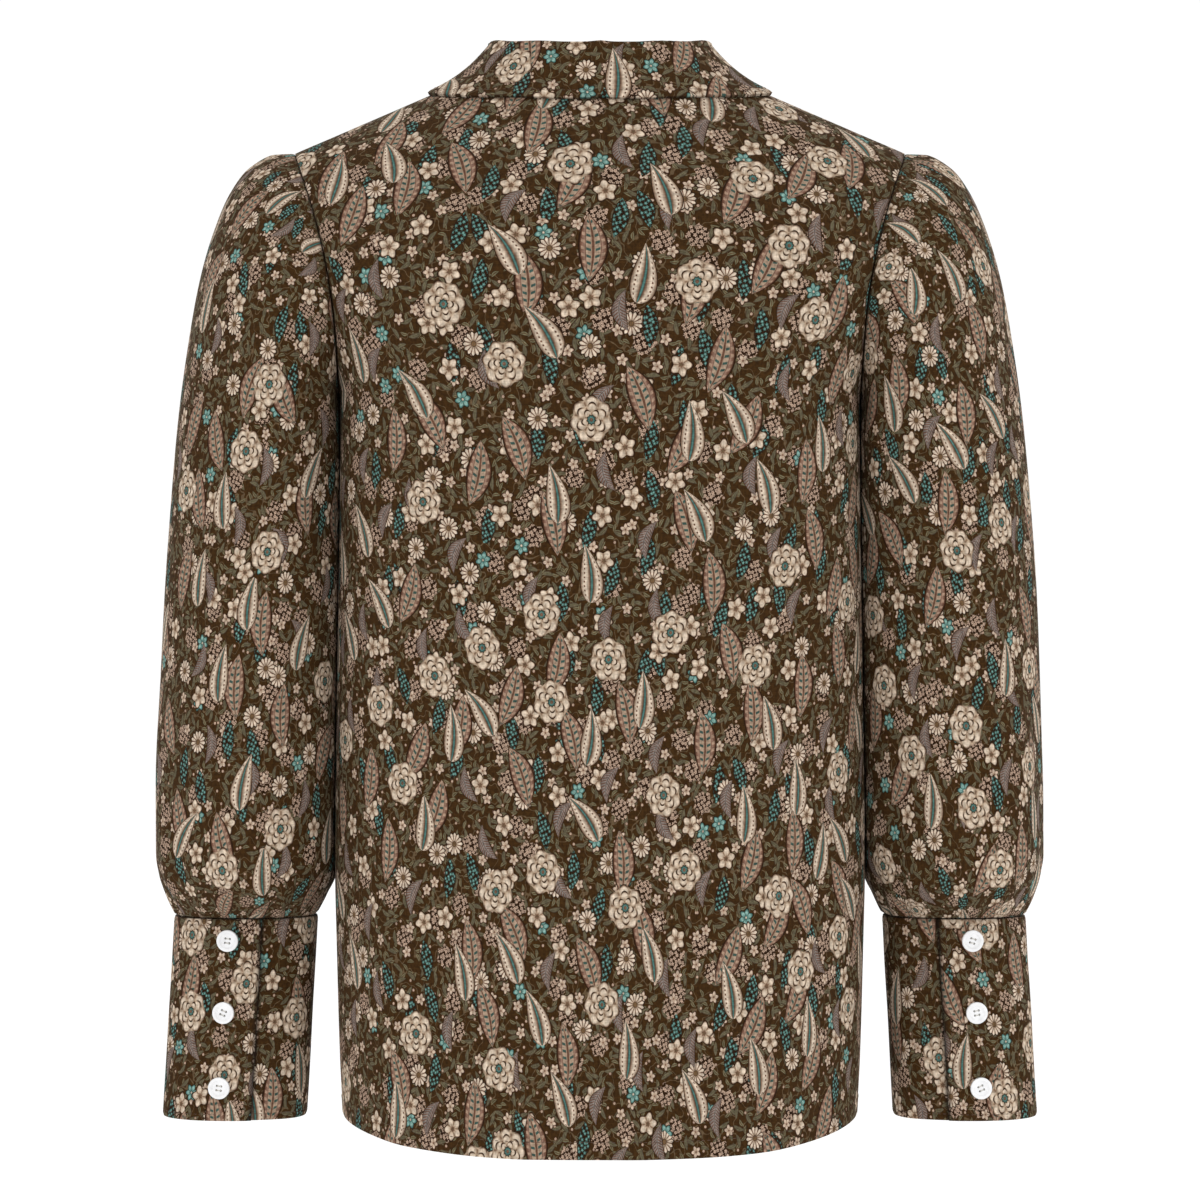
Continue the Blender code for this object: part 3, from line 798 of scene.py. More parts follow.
# %% Places on a sleeve
def sleeve_place(side, across, down):
    turn = 180 + 360 * across
    station = LAST_STATION * crowd(down, SLEEVE_CROWD)
    point = sleeve_point(turn, station)
    across_way = sleeve_point(turn + 0.5, station) - sleeve_point(turn - 0.5, station)
    above, below = max(0, station - 0.03), min(LAST_STATION, station + 0.03)
    down_way = sleeve_point(turn, below) - sleeve_point(turn, above)
    normal = down_way.cross(across_way).normalized()
    free = ease((point.x - body_side(point)) / CONTACT_FADE)
    half_girth = sleeve_ring(station).half_depth * HALF_GIRTH
    along = (across - 0.5) * 2 * half_girth
    to_cap = tape([sleeve_point(turn, 0), point])[-1]
    to_cuff = point.z - SLEEVE[-1].outer_z
    relief = creases(SLEEVE_CREASES, along * side, point.z) * ease(to_cap / 40) * ease(to_cuff / 30)
    relief += gathers((across - 0.5) * 2 * SLEEVE[-1].half_depth * HALF_GIRTH, to_cuff, 5.1 * side)
    ripple = noise.noise(Vector((turn / 7.5, 2.2, side)))
    relief += CAP_EASE_DEPTH * ripple * math.exp(-to_cap / 16) * ease(to_cap / 4)
    to_own_seam = half_girth - abs(along)
    relief = relief * free + (seam_dip(to_cap) + seam_dip(to_cuff) + seam_dip(to_own_seam)) * SOFT_SEAM
    # Painted shade in the grooves of the armhole, cuff and sleeve seams.
    shade = max(painted_seam_shade(to_cap) * SOFT_SEAM, painted_seam_shade(to_cuff) * SOFT_SEAM, painted_seam_shade(to_own_seam))
    return on_side(side, point, normal, relief, CLOTH, shade)


for word, side in SIDES:
    sew(f"sleeve_{word}_cloth", 112, 130, functools.partial(sleeve_place, side), (5.0, 2.0 + side),
        upright_map, squeeze=lambda down: SLEEVE_SQUEEZE, closed=True)

# %% [markdown]
# ## Cuffs
# A deep cuff is two layers of cloth with a stiff one between them, turned out and pressed flat. It goes once
# round the wrist and laps over its own end, and three buttons close it. The spare end sinks under the lap a
# little at a time, so the outer side stays one smooth curve.

# %% Sew the cuffs
CUFF_SQUARENESS = 2.2
CUFF_LAP_ANGLE = 105.0
CUFF_LAP = 36.0
CUFF_LAP_SINK = 2.4
CUFF_LAP_START = 6.0
CUFF_WAVE = 0.35
CUFF_WAVE_LENGTH = 27.0
CUFF_CROWD = 0.8
CUFF_EDGE_DIP = 0.7
CUFF_HEIGHT = CUFF[0].z - CUFF[-1].z
CUFF_TURN = math.radians(1) * CUFF[0].half_width  # millimetres round a cuff in one degree


def cuff_point(angle, fall, out=0.0):
    """A point on the left cuff: angle 0 is its outer side, 90 its back; fall runs from its top down."""
    cuff = cuff_row(fall)
    across, deep = oval(angle, CUFF_SQUARENESS)
    normal = Vector((across * cuff.half_depth, deep * cuff.half_width, 0)).normalized()
    point = Vector((cuff.middle_x + cuff.half_width * across, cuff.half_depth * deep - cuff.forward, cuff.z))
    return point + normal * out


def cuff_place(side, across, down):
    gone = (360 + CUFF_LAP) * across
    sink = CUFF_LAP_SINK * ease((gone - 360 + CUFF_LAP + CUFF_LAP_START) / CUFF_LAP)
    angle = CUFF_LAP_ANGLE - gone
    fall = crowd(down, CUFF_CROWD)
    point = cuff_point(angle, fall, -sink)
    normal = (cuff_point(angle, fall, 1) - cuff_point(angle, fall)).normalized()
    height = (1 - fall) * CUFF_HEIGHT
    to_top = CUFF[0].z - point.z
    along = gone * CUFF_TURN
    calm = ease(along / 10) * ease((360 * CUFF_TURN - along) / 30)
    relief = CUFF_WAVE * noise.noise(Vector((along / CUFF_WAVE_LENGTH, height / 40, 8.3 * side))) * calm
    relief += (seam_dip(height) + seam_dip(along)) * CUFF_EDGE_DIP + seam_dip(to_top) * SOFT_SEAM
    to_lap = max(0.0, 360 - gone) * CUFF_TURN
    # Painted shade along the cuff's top seam and the edge of its lap, and painted shadow on the under end
    # just past that edge.
    shade = max(painted_seam_shade(to_top) * SOFT_SEAM, painted_seam_shade(along), painted_seam_shade(to_lap * 0.8))
    return on_side(side, point, normal, relief, CUFF_CLOTH, shade)


for word, side in SIDES:
    sew(f"cuff_{word}_cloth", 110, 44, functools.partial(cuff_place, side), (7.0, 2.0 + side), cloth_map,
        middle=0.4, squeeze=lambda down: SLEEVE_SQUEEZE)

# %% [markdown]
# ## Collar
# The collar stands up from the neck seam, rolls over and falls to a pointed edge. Its section changes all the
# way round: high behind, where it hides the seam, and low in front, where it parts into two points. Each
# section is a smooth curve through ten points, and the cloth is bent along it.

# %% Sections of the collar
COLLAR_ROLL_RADIUS = 3.0
COLLAR_EDGE_CLEARANCE = 1.3
COLLAR_STEPS_BETWEEN = 6


def smooth_through(points, steps):
    """Points on a smooth curve through the given ones."""
    ends = [points[0] * 2 - points[1], *points, points[-1] * 2 - points[-2]]
    curve = []
    for a, b, c, d in zip(ends, ends[1:], ends[2:], ends[3:]):
        for i in range(steps):
            t = i / steps
            curve.append(0.5 * (2 * b + (c - a) * t + (2 * a - 5 * b + 4 * c - d) * t ** 2
                                + (3 * b - a - 3 * c + d) * t ** 3))
    return curve + [points[-1].copy()]


@functools.lru_cache(maxsize=None)
def collar_section(angle):
    """The collar's outer side from the neck seam up, over the roll and down the fall, and its tape."""
    fold = fold_row(angle)
    neck = form_point(angle, 0)
    ring = form_point(min(angle + 1, 180), 0) - form_point(max(angle - 1, 0), 0)
    outward = Vector((-ring.y, ring.x, 0)).normalized()
    foot = neck - outward * COLLAR_CLOTH + UP * SEAM_GAP
    top = neck + outward * (fold.lean - COLLAR_CLOTH) + UP * (fold.rise - COLLAR_ROLL_RADIUS)
    middle = top + outward * COLLAR_ROLL_RADIUS
    points = [foot, (foot + top) / 2]
    for turn in (180, 135, 90, 45, 0):
        across = math.cos(math.radians(turn)) * COLLAR_ROLL_RADIUS
        points.append(middle + outward * across + UP * math.sin(math.radians(turn)) * COLLAR_ROLL_RADIUS)
    clearance = COLLAR_CLOTH + COLLAR_EDGE_CLEARANCE
    rest = fold.edge_angle, fold.edge_level
    edge = form_point(*rest) + form_normal(*rest) * clearance
    for share in (1 / 3, 2 / 3, 1):
        bow = fold.bow * 4 * share * (1 - share)
        points.append(points[6].lerp(edge, share) + (outward + UP).normalized() * bow)
    curve = smooth_through(points, COLLAR_STEPS_BETWEEN)
    return curve, tape(curve)


def collar_point(angle, down):
    curve, lengths = collar_section(angle)
    return read_tape(curve, lengths, lengths[-1] * down)


print("behind, the collar is", round(collar_section(0)[1][-1]), "mm from its neck seam to its edge")

# %% Sew the collar
COLLAR_FRONT_GAP = 0.3
COLLAR_EDGE_SHADE = 0.4
COLLAR_CROWD = 0.6
FALL_CROWD = 0.35
neck_last = 180 - math.degrees(math.asin(COLLAR_FRONT_GAP / NECK_HALF_WIDTH))
neck_angles = [neck_last * i / TAPE_STEPS for i in range(TAPE_STEPS + 1)]
neck_lengths = tape([form_point(angle, 0) for angle in neck_angles])


def collar_place(across, down):
    share = 2 * crowd(across, COLLAR_CROWD) - 1
    side = 1 if share >= 0 else -1
    angle = read_tape(neck_angles, neck_lengths, abs(share) * neck_lengths[-1])
    fall = crowd(down, FALL_CROWD)
    point = collar_point(angle, fall)
    round_way = collar_point(min(angle + 0.6, neck_last), fall) - collar_point(max(angle - 0.6, 0), fall)
    down_way = collar_point(angle, min(fall + 0.01, 1)) - collar_point(angle, max(fall - 0.01, 0))
    normal = round_way.cross(down_way).normalized()
    to_edge = (1 - fall) * collar_section(angle)[1][-1]
    to_front = (1 - abs(share)) * neck_lengths[-1] / (1 + fall)
    relief = seam_dip(to_edge) * 0.6 + seam_dip(to_front) * 0.4 * ease(fall * 3)
    # Painted shadow along the collar's falling edge, weaker than at a seam.
    return on_side(side, point, normal, relief, COLLAR_CLOTH, COLLAR_EDGE_SHADE * painted_seam_shade(to_edge))


sew("collar_cloth", 128, 56, collar_place, (9.0, 1.0), unwrapped_map)

# %% [markdown]
# ## The print
# The cloth is screen printed in the manner of a dense country ditsy: cream blossoms, paisleys and tan leaves
# on a dark brown ground, with teal flower spikes, little florets and olive sprigs in every gap. It is drawn
# with nodes in real millimetres. Motifs of about one size share a scatter of cells, and chance decides which
# of them a cell holds. Inside a cell a point knows how far it is from the motif's middle, so a petal, a leaf
# or a drop is only a formula. The layers are put down from the small leaves to the large blossoms, and each
# motif carries a dark edge, as a printed one does.

# %% One function for nodes, and one for colours
def add(tree, kind, inputs=(), **settings):
    """A node with its settings; an input is linked where it is given a socket and set where it is a value."""
    node = tree.nodes.new(kind)
    for key, value in settings.items():
        setattr(node, key, value)
    for key, value in dict(inputs).items():
        if isinstance(value, bpy.types.NodeSocket):
            tree.links.new(value, node.inputs[key])
        else:
            node.inputs[key].default_value = value
    return node


def linear(colour):
    """A linear colour with alpha from an sRGB hex value."""
    parts = [int(colour[i:i + 2], 16) / 255 for i in (1, 3, 5)]
    return (*(c / 12.92 if c <= 0.04045 else ((c + 0.055) / 1.055) ** 2.4 for c in parts), 1)


GROUND, EDGE = "#3B260E", "#281708"
CREAM, CREAM_SHADE, CREAM_DEEP = "#D1BFAA", "#AA947D", "#7A604C"
TEAL, TEAL_LIGHT, TEAL_DEEP = "#527C75", "#8AACA2", "#364E47"
OLIVE, OLIVE_LIGHT = "#5F4D37", "#78765B"
ROSE, ROSE_LIGHT, ROSE_DEEP = "#8E7060", "#B09682", "#644434"
GREY = "#8A7F78"

ditsy = bpy.data.node_groups.new("Country ditsy print", "ShaderNodeTree")
ditsy.interface.new_socket("Cloth", in_out="INPUT", socket_type="NodeSocketVector")
ditsy.interface.new_socket("Color", in_out="OUTPUT", socket_type="NodeSocketColor")
cloth_in = add(ditsy, "NodeGroupInput").outputs["Cloth"]
print("the ground", GROUND, "is", [round(part, 4) for part in linear(GROUND)[:3]], "in linear light")

# %% Scatter motifs over the cloth
LATTICE_TURN = 0.42
turned_in = add(ditsy, "ShaderNodeMapping", {"Vector": cloth_in, "Rotation": (0, 0, LATTICE_TURN)}).outputs[0]


def scatter(size, seed, sway, loose=0.6):
    """Cells size mm apart: a place in mm from the middle of its cell, turned by up to sway, and a chance."""
    lattice = add(ditsy, "ShaderNodeVectorMath", {0: turned_in, 1: (1 / (size * MM),) * 3,
                                                  2: (seed * 1.37, seed * 0.71, 0)}, operation="MULTIPLY_ADD")
    lattice = lattice.outputs[0]
    cells = add(ditsy, "ShaderNodeTexVoronoi", {"Vector": lattice, "Scale": 1.0, "Randomness": loose},
                voronoi_dimensions="2D", feature="F1")
    middle = cells.outputs["Position"]
    away = add(ditsy, "ShaderNodeVectorMath", {0: lattice, 1: middle}, operation="SUBTRACT")
    in_mm = add(ditsy, "ShaderNodeVectorMath", {0: away.outputs[0], "Scale": size}, operation="SCALE")
    chance = add(ditsy, "ShaderNodeSeparateColor", {0: cells.outputs["Color"]})
    least, most = (-LATTICE_TURN + math.radians(angle) for angle in (-sway, sway))
    turn = add(ditsy, "ShaderNodeMapRange", {"Value": chance.outputs[0], "To Min": least, "To Max": most})
    turned = add(ditsy, "ShaderNodeVectorRotate", {"Vector": in_mm.outputs[0], "Angle": turn.outputs[0]},
                 rotation_type="Z_AXIS")
    return turned.outputs[0], chance.outputs[1]


print("the rows of cells are turned by", round(math.degrees(LATTICE_TURN)), "degrees, so none lies level")

# %% Ground and vines
def inside(value, limit, soft):
    """1 where a value is under a limit and 0 above it, with a soft step."""
    step = {"Value": value, "From Min": limit - soft, "From Max": limit + soft, "To Min": 1.0, "To Max": 0.0}
    return add(ditsy, "ShaderNodeMapRange", step).outputs[0]


def both(first, second):
    return add(ditsy, "ShaderNodeMath", {0: first, 1: second}, operation="MULTIPLY").outputs[0]


def lay(under, colour, *masks):
    """A layer of ink, a hex value or a socket, over what is printed already, where all the masks are 1."""
    under, colour = (linear(ink) if isinstance(ink, str) else ink for ink in (under, colour))
    mask = functools.reduce(both, masks)
    return add(ditsy, "ShaderNodeMix", {0: mask, 6: under, 7: colour}, data_type="RGBA").outputs[2]


wander = add(ditsy, "ShaderNodeTexNoise", {"Vector": cloth_in, "Scale": 95.0, "Detail": 1.0},
             noise_dimensions="2D")
middle = add(ditsy, "ShaderNodeMath", {0: wander.outputs[0], 1: 0.5}, operation="SUBTRACT")
vine = add(ditsy, "ShaderNodeMath", {0: middle.outputs[0]}, operation="ABSOLUTE")
print_colour = lay(GROUND, OLIVE, inside(vine.outputs[0], 0.015, 0.005))
print("ground and vines:", len(ditsy.nodes), "nodes")

# %% Small leaves
def leaf_ratio(place, half_width, half_length, bend=0.0):
    """0 along the rib of a leaf or drop and 1 at its edge; its middle line bends aside by bend mm."""
    spoke = add(ditsy, "ShaderNodeSeparateXYZ", {0: place})
    up = add(ditsy, "ShaderNodeMath", {0: spoke.outputs[1], 1: half_length}, operation="DIVIDE")
    square = add(ditsy, "ShaderNodeMath", {0: up.outputs[0], 1: up.outputs[0]}, operation="MULTIPLY")
    aside = add(ditsy, "ShaderNodeMath", {0: square.outputs[0], 1: -bend, 2: spoke.outputs[0]},
                operation="MULTIPLY_ADD")
    far = add(ditsy, "ShaderNodeMath", {0: aside.outputs[0]}, operation="ABSOLUTE")
    width = add(ditsy, "ShaderNodeMath", {0: square.outputs[0], 1: -half_width, 2: half_width + 0.01},
                operation="MULTIPLY_ADD")
    safe = add(ditsy, "ShaderNodeMath", {0: width.outputs[0], 1: 0.001}, operation="MAXIMUM")
    ratio = add(ditsy, "ShaderNodeMath", {0: far.outputs[0], 1: safe.outputs[0]}, operation="DIVIDE")
    return ratio.outputs[0], spoke.outputs[1]


def tints(ratio, stops):
    """A colour read off a ramp: stops are (place, hex) pairs from the middle of a motif to its rim."""
    top = stops[-1][0]
    scale = add(ditsy, "ShaderNodeMath", {0: ratio, 1: top}, operation="DIVIDE")
    ramp = add(ditsy, "ShaderNodeValToRGB", {0: scale.outputs[0]})
    marks = ramp.color_ramp.elements
    while len(marks) < len(stops):
        marks.new(0.5)
    for mark, (where, colour) in zip(marks, stops):
        mark.position = where / top
        mark.color = linear(colour)
    return ramp.outputs[0]


def in_share(chance, share):
    """1 in a share of the cells."""
    return add(ditsy, "ShaderNodeMath", {0: chance, 1: share}, operation="LESS_THAN").outputs[0]


sprigs = []
for size, seed, share, half_width, half_length, first, second in (
        (6.0, 0.4, 0.72, 1.05, 2.9, OLIVE, OLIVE_LIGHT), (8.6, 2.7, 0.85, 1.65, 4.6, "#68634D", "#504333")):
    place, chance = scatter(size, seed, 180, 0.9)
    sprigs.append((place, chance))
    ratio, _ = leaf_ratio(place, half_width, half_length, 0.8)
    leaf = tints(ratio, ((0.0, GROUND), (0.16, first), (0.8, second), (1.0, EDGE)))
    print_colour = lay(print_colour, leaf, inside(ratio, 1.0, 0.12), in_share(chance, share))
print("with small leaves:", len(ditsy.nodes), "nodes")

# %% Buds, florets and clusters
def petal_ratio(place, radius, petals, depth, twist=0.0):
    """0 in the middle of a flower and 1 at its rim; and 1 on a petal's middle line and -1 between petals."""
    spoke = add(ditsy, "ShaderNodeSeparateXYZ", {0: place})
    angle = add(ditsy, "ShaderNodeMath", {0: spoke.outputs[1], 1: spoke.outputs[0]}, operation="ARCTAN2")
    phase = add(ditsy, "ShaderNodeMath", {0: angle.outputs[0], 1: petals, 2: twist}, operation="MULTIPLY_ADD")
    wave = add(ditsy, "ShaderNodeMath", {0: phase.outputs[0]}, operation="COSINE")
    rim = add(ditsy, "ShaderNodeMath", {0: wave.outputs[0], 1: radius * depth, 2: radius * (1 - depth)},
              operation="MULTIPLY_ADD")
    length = add(ditsy, "ShaderNodeVectorMath", {0: place}, operation="LENGTH")
    ratio = add(ditsy, "ShaderNodeMath", {0: length.outputs["Value"], 1: rim.outputs[0]}, operation="DIVIDE")
    return ratio.outputs[0], wave.outputs[0]


def within(value, low, high):
    """1 where a chance or a ratio lies between two values."""
    over = add(ditsy, "ShaderNodeMath", {0: value, 1: low}, operation="GREATER_THAN")
    under = add(ditsy, "ShaderNodeMath", {0: value, 1: high}, operation="LESS_THAN")
    return both(over.outputs[0], under.outputs[0])


place, chance = sprigs[0]
ratio, _ = petal_ratio(place, 1.15, 1, 0.25)
bud = tints(ratio, ((0.0, CREAM_SHADE), (0.8, ROSE_LIGHT), (1.0, ROSE_DEEP), (1.4, EDGE)))
print_colour = lay(print_colour, bud, inside(ratio, 1.25, 0.1), within(chance, 0.74, 1.0))

place, chance = scatter(25.0, 4.1, 40, 0.75)
umbel, _ = petal_ratio(place, 7.6, 7, 0.10)
small, _ = scatter(2.6, 5.2, 180, 0.5)
dot, _ = petal_ratio(small, 1.3, 5, 0.2)
floret = tints(dot, ((0.0, ROSE_DEEP), (0.2, ROSE_DEEP), (0.3, ROSE_LIGHT), (0.9, ROSE_LIGHT),
                     (1.1, ROSE_DEEP)))
cluster = both(inside(umbel, 1.0, 0.03), in_share(chance, 0.62))
print_colour = lay(print_colour, EDGE, cluster, inside(umbel, 1.0, 0.2))
print_colour = lay(print_colour, floret, cluster, inside(dot, 1.05, 0.08))

place, chance = scatter(15.5, 0.9, 180, 0.8)
ratio, wave = petal_ratio(place, 3.7, 5, 0.20)
floret = tints(ratio, ((0.0, ROSE_DEEP), (0.16, ROSE_DEEP), (0.24, CREAM_SHADE), (0.8, "#CBB7A2"),
                       (0.98, ROSE), (1.06, EDGE), (1.4, EDGE)))
floret = lay(floret, ROSE, inside(wave, -0.72, 0.25), inside(ratio, 1.0, 0.05))
print_colour = lay(print_colour, floret, inside(ratio, 1.2, 0.06), in_share(chance, 0.63))
print("with small flowers:", len(ditsy.nodes), "nodes")

# %% Teal spikes and teal blossoms
place, chance = scatter(31.0, 2.2, 22, 0.75)
spike, height = leaf_ratio(place, 4.3, 12.5, 1.5)
berry_tint = tints(dot, ((0.0, TEAL_LIGHT), (0.5, TEAL), (0.95, TEAL_DEEP), (1.1, EDGE), (1.3, EDGE)))
spikes = in_share(chance, 0.46)
print_colour = lay(print_colour, EDGE, inside(spike, 1.2, 0.1), spikes)
print_colour = lay(print_colour, berry_tint, inside(spike, 1.0, 0.08), spikes, inside(dot, 1.15, 0.1))

ratio, wave = petal_ratio(place, 5.2, 6, 0.16)
teal = tints(ratio, ((0.0, CREAM), (0.10, CREAM), (0.2, TEAL_DEEP), (0.3, TEAL), (0.7, TEAL_LIGHT),
                     (0.92, TEAL), (1.02, TEAL_DEEP), (1.08, EDGE), (1.4, EDGE)))
teal = lay(teal, TEAL_DEEP, inside(wave, -0.75, 0.2), inside(ratio, 1.0, 0.05))
print_colour = lay(print_colour, teal, inside(ratio, 1.18, 0.05), within(chance, 0.62, 0.86))
print("with teal flowers:", len(ditsy.nodes), "nodes")

# %% Cream flowers and daisies
place, chance = scatter(29.0, 0.1, 180, 0.8)
ratio, wave = petal_ratio(place, 7.0, 5, 0.17)
flower = tints(ratio, ((0.0, OLIVE), (0.12, OLIVE), (0.16, ROSE_DEEP), (0.24, CREAM_DEEP),
                       (0.34, CREAM_SHADE), (0.62, CREAM), (0.9, CREAM), (1.0, CREAM_DEEP), (1.05, EDGE),
                       (1.4, EDGE)))
flower = lay(flower, CREAM_SHADE, inside(wave, -0.25, 0.6), within(ratio, 0.3, 1.0))
flower = lay(flower, CREAM_DEEP, inside(wave, -0.86, 0.14), inside(ratio, 0.98, 0.05))
print_colour = lay(print_colour, flower, inside(ratio, 1.16, 0.04), in_share(chance, 0.45))
ratio, wave = petal_ratio(place, 6.8, 13, 0.09)
daisy = tints(ratio, ((0.0, OLIVE), (0.20, "#6E5236"), (0.27, EDGE), (0.33, CREAM_SHADE), (0.6, CREAM),
                      (0.95, CREAM), (1.04, EDGE), (1.4, EDGE)))
daisy = lay(daisy, ROSE_DEEP, inside(wave, -0.45, 0.35), within(ratio, 0.33, 1.0))
print_colour = lay(print_colour, daisy, inside(ratio, 1.15, 0.04), within(chance, 0.5, 0.74))
print("with cream flowers:", len(ditsy.nodes), "nodes")

# %% Tan leaves and grey sprays
place, chance = scatter(43.0, 3.9, 30, 0.45)
ratio, height = leaf_ratio(place, 8.2, 20.0, 3.0)
rows = add(ditsy, "ShaderNodeMath", {0: height, 1: 2 * math.pi / 4.2}, operation="MULTIPLY")
veins = add(ditsy, "ShaderNodeMath", {0: ratio, 1: -4.0, 2: rows.outputs[0]}, operation="MULTIPLY_ADD")
vein = add(ditsy, "ShaderNodeMath", {0: veins.outputs[0]}, operation="COSINE")
tan = tints(ratio, ((0.0, ROSE_DEEP), (0.07, ROSE_DEEP), (0.12, "#9C8570"), (0.5, "#A8917C"),
                    (0.56, ROSE_DEEP), (0.62, ROSE), (0.9, ROSE_DEEP), (1.0, EDGE), (1.3, EDGE)))
tan = lay(tan, TEAL_DEEP, inside(vein.outputs[0], -0.35, 0.3), within(ratio, 0.16, 0.50))
tan = lay(tan, "#A38671", inside(vein.outputs[0], -0.2, 0.3), within(ratio, 0.62, 0.88))
print_colour = lay(print_colour, tan, inside(ratio, 1.1, 0.04), in_share(chance, 0.46))

ratio, height = leaf_ratio(place, 4.2, 12.0, -5.0)
rows = add(ditsy, "ShaderNodeMath", {0: ratio, 1: 2.6, 2: height}, operation="MULTIPLY_ADD")
barbs = add(ditsy, "ShaderNodeMath", {0: rows.outputs[0], 1: 3.6}, operation="MULTIPLY")
barb = add(ditsy, "ShaderNodeMath", {0: barbs.outputs[0]}, operation="SINE")
grey = tints(ratio, ((0.0, EDGE), (0.10, GREY), (0.9, "#6F655E"), (1.02, EDGE), (1.3, EDGE)))
grey = lay(grey, ROSE_DEEP, inside(barb.outputs[0], -0.3, 0.4), within(ratio, 0.14, 1.0))
print_colour = lay(print_colour, grey, inside(ratio, 1.12, 0.05), within(chance, 0.46, 0.9))
print("with large leaves:", len(ditsy.nodes), "nodes")

# %% Large cream blossoms
place, chance = scatter(47.0, 5.6, 25, 0.5)
peonies = in_share(chance, 0.34)
for radius, petals, depth, twist in ((13.6, 7, 0.085, 0.0), (9.6, 6, 0.10, 1.6), (5.9, 5, 0.13, 0.5)):
    ratio, wave = petal_ratio(place, radius, petals, depth, twist)
    petal = tints(ratio, ((0.0, CREAM_DEEP), (0.55, CREAM_SHADE), (0.78, CREAM), (0.92, CREAM),
                          (0.99, CREAM_DEEP), (1.03, EDGE), (1.3, EDGE)))
    petal = lay(petal, CREAM_SHADE, inside(wave, -0.25, 0.6))
    petal = lay(petal, CREAM_DEEP, inside(wave, -0.90, 0.10), inside(ratio, 0.98, 0.03))
    print_colour = lay(print_colour, petal, inside(ratio, 1.0 + 0.9 / radius, 0.02), peonies)
ratio, wave = petal_ratio(place, 3.0, 9, 0.10)
heart = tints(ratio, ((0.0, CREAM_DEEP), (0.35, ROSE_DEEP), (0.5, TEAL), (0.85, TEAL_DEEP), (1.0, EDGE),
                      (1.3, EDGE)))
print_colour = lay(print_colour, heart, inside(ratio, 1.1, 0.05), peonies)
print("with blossoms:", len(ditsy.nodes), "nodes")

# %% Paisleys, and the wash over all
spoke = add(ditsy, "ShaderNodeSeparateXYZ", {0: place})
up = add(ditsy, "ShaderNodeMapRange", {"Value": spoke.outputs[1], "From Min": -15.0, "From Max": 19.0})
round_end = add(ditsy, "ShaderNodeMath", {0: up.outputs[0], 1: 0.55}, operation="POWER")
tip = add(ditsy, "ShaderNodeMath", {0: 1.0, 1: up.outputs[0]}, operation="SUBTRACT")
width = add(ditsy, "ShaderNodeMath", {0: both(round_end.outputs[0], tip.outputs[0]), 1: 22.0, 2: 0.02},
            operation="MULTIPLY_ADD")
curl = add(ditsy, "ShaderNodeMath", {0: up.outputs[0], 1: 2.2}, operation="POWER")
aside = add(ditsy, "ShaderNodeMath", {0: curl.outputs[0], 1: -10.0, 2: spoke.outputs[0]},
            operation="MULTIPLY_ADD")
far = add(ditsy, "ShaderNodeMath", {0: aside.outputs[0]}, operation="ABSOLUTE")
ratio = add(ditsy, "ShaderNodeMath", {0: far.outputs[0], 1: width.outputs[0]}, operation="DIVIDE").outputs[0]
beads = add(ditsy, "ShaderNodeMath", {0: spoke.outputs[1], 1: 2 * math.pi / 2.6}, operation="MULTIPLY")
bead = add(ditsy, "ShaderNodeMath", {0: beads.outputs[0]}, operation="SINE")
drop = tints(ratio, ((0.0, TEAL), (0.10, TEAL_DEEP), (0.15, ROSE_DEEP), (0.22, CREAM_DEEP), (0.5, CREAM),
                     (0.72, CREAM), (0.97, CREAM_DEEP), (1.02, EDGE), (1.3, EDGE)))
drop = lay(drop, ROSE_DEEP, inside(bead.outputs[0], -0.2, 0.35), within(ratio, 0.60, 0.74))
print_colour = lay(print_colour, drop, inside(ratio, 1.08, 0.02), within(chance, 0.40, 0.74))

brush = {"Vector": cloth_in, "Scale": 420.0, "Detail": 1.0, "Roughness": 0.6}
brush = add(ditsy, "ShaderNodeTexNoise", brush, noise_dimensions="2D").outputs[0]
wash = add(ditsy, "ShaderNodeMapRange", {"Value": brush, "From Min": 0.3, "From Max": 0.7, "To Min": 0.68,
                                         "To Max": 1.06}).outputs[0]
washed = add(ditsy, "ShaderNodeVectorMath", {0: print_colour, "Scale": wash}, operation="SCALE")
add(ditsy, "NodeGroupOutput", {0: washed.outputs[0]})
print("the print has", len(ditsy.nodes), "nodes")

# %% [markdown]
# ## Finishes
# The cotton is matt, with a little fuzz that lightens it at a glancing angle. Its weave is far finer than the
# print, about three threads to a millimetre, and uneven yarn gives faint streaks along both threads. The ink
# sits on the right side, so the reverse shows the same flowers paler and warmer. Collar and cuffs are folded
# double, so both of their sides are right sides. The buttons are a white resin with a soft gloss, and the
# thread is a dull brown dyed to match the ground.

# %% Printed cotton
YARN = 0.34
SLUB_LENGTH, SLUB_WIDTH = 9.0, 0.7
# The second colour is the near black that painted shade darkens seams and edges towards.
BARE_COTTON, PAINTED_SEAM_SHADOW = "#A08C77", "#15100C"
REVERSE_INK = 0.38


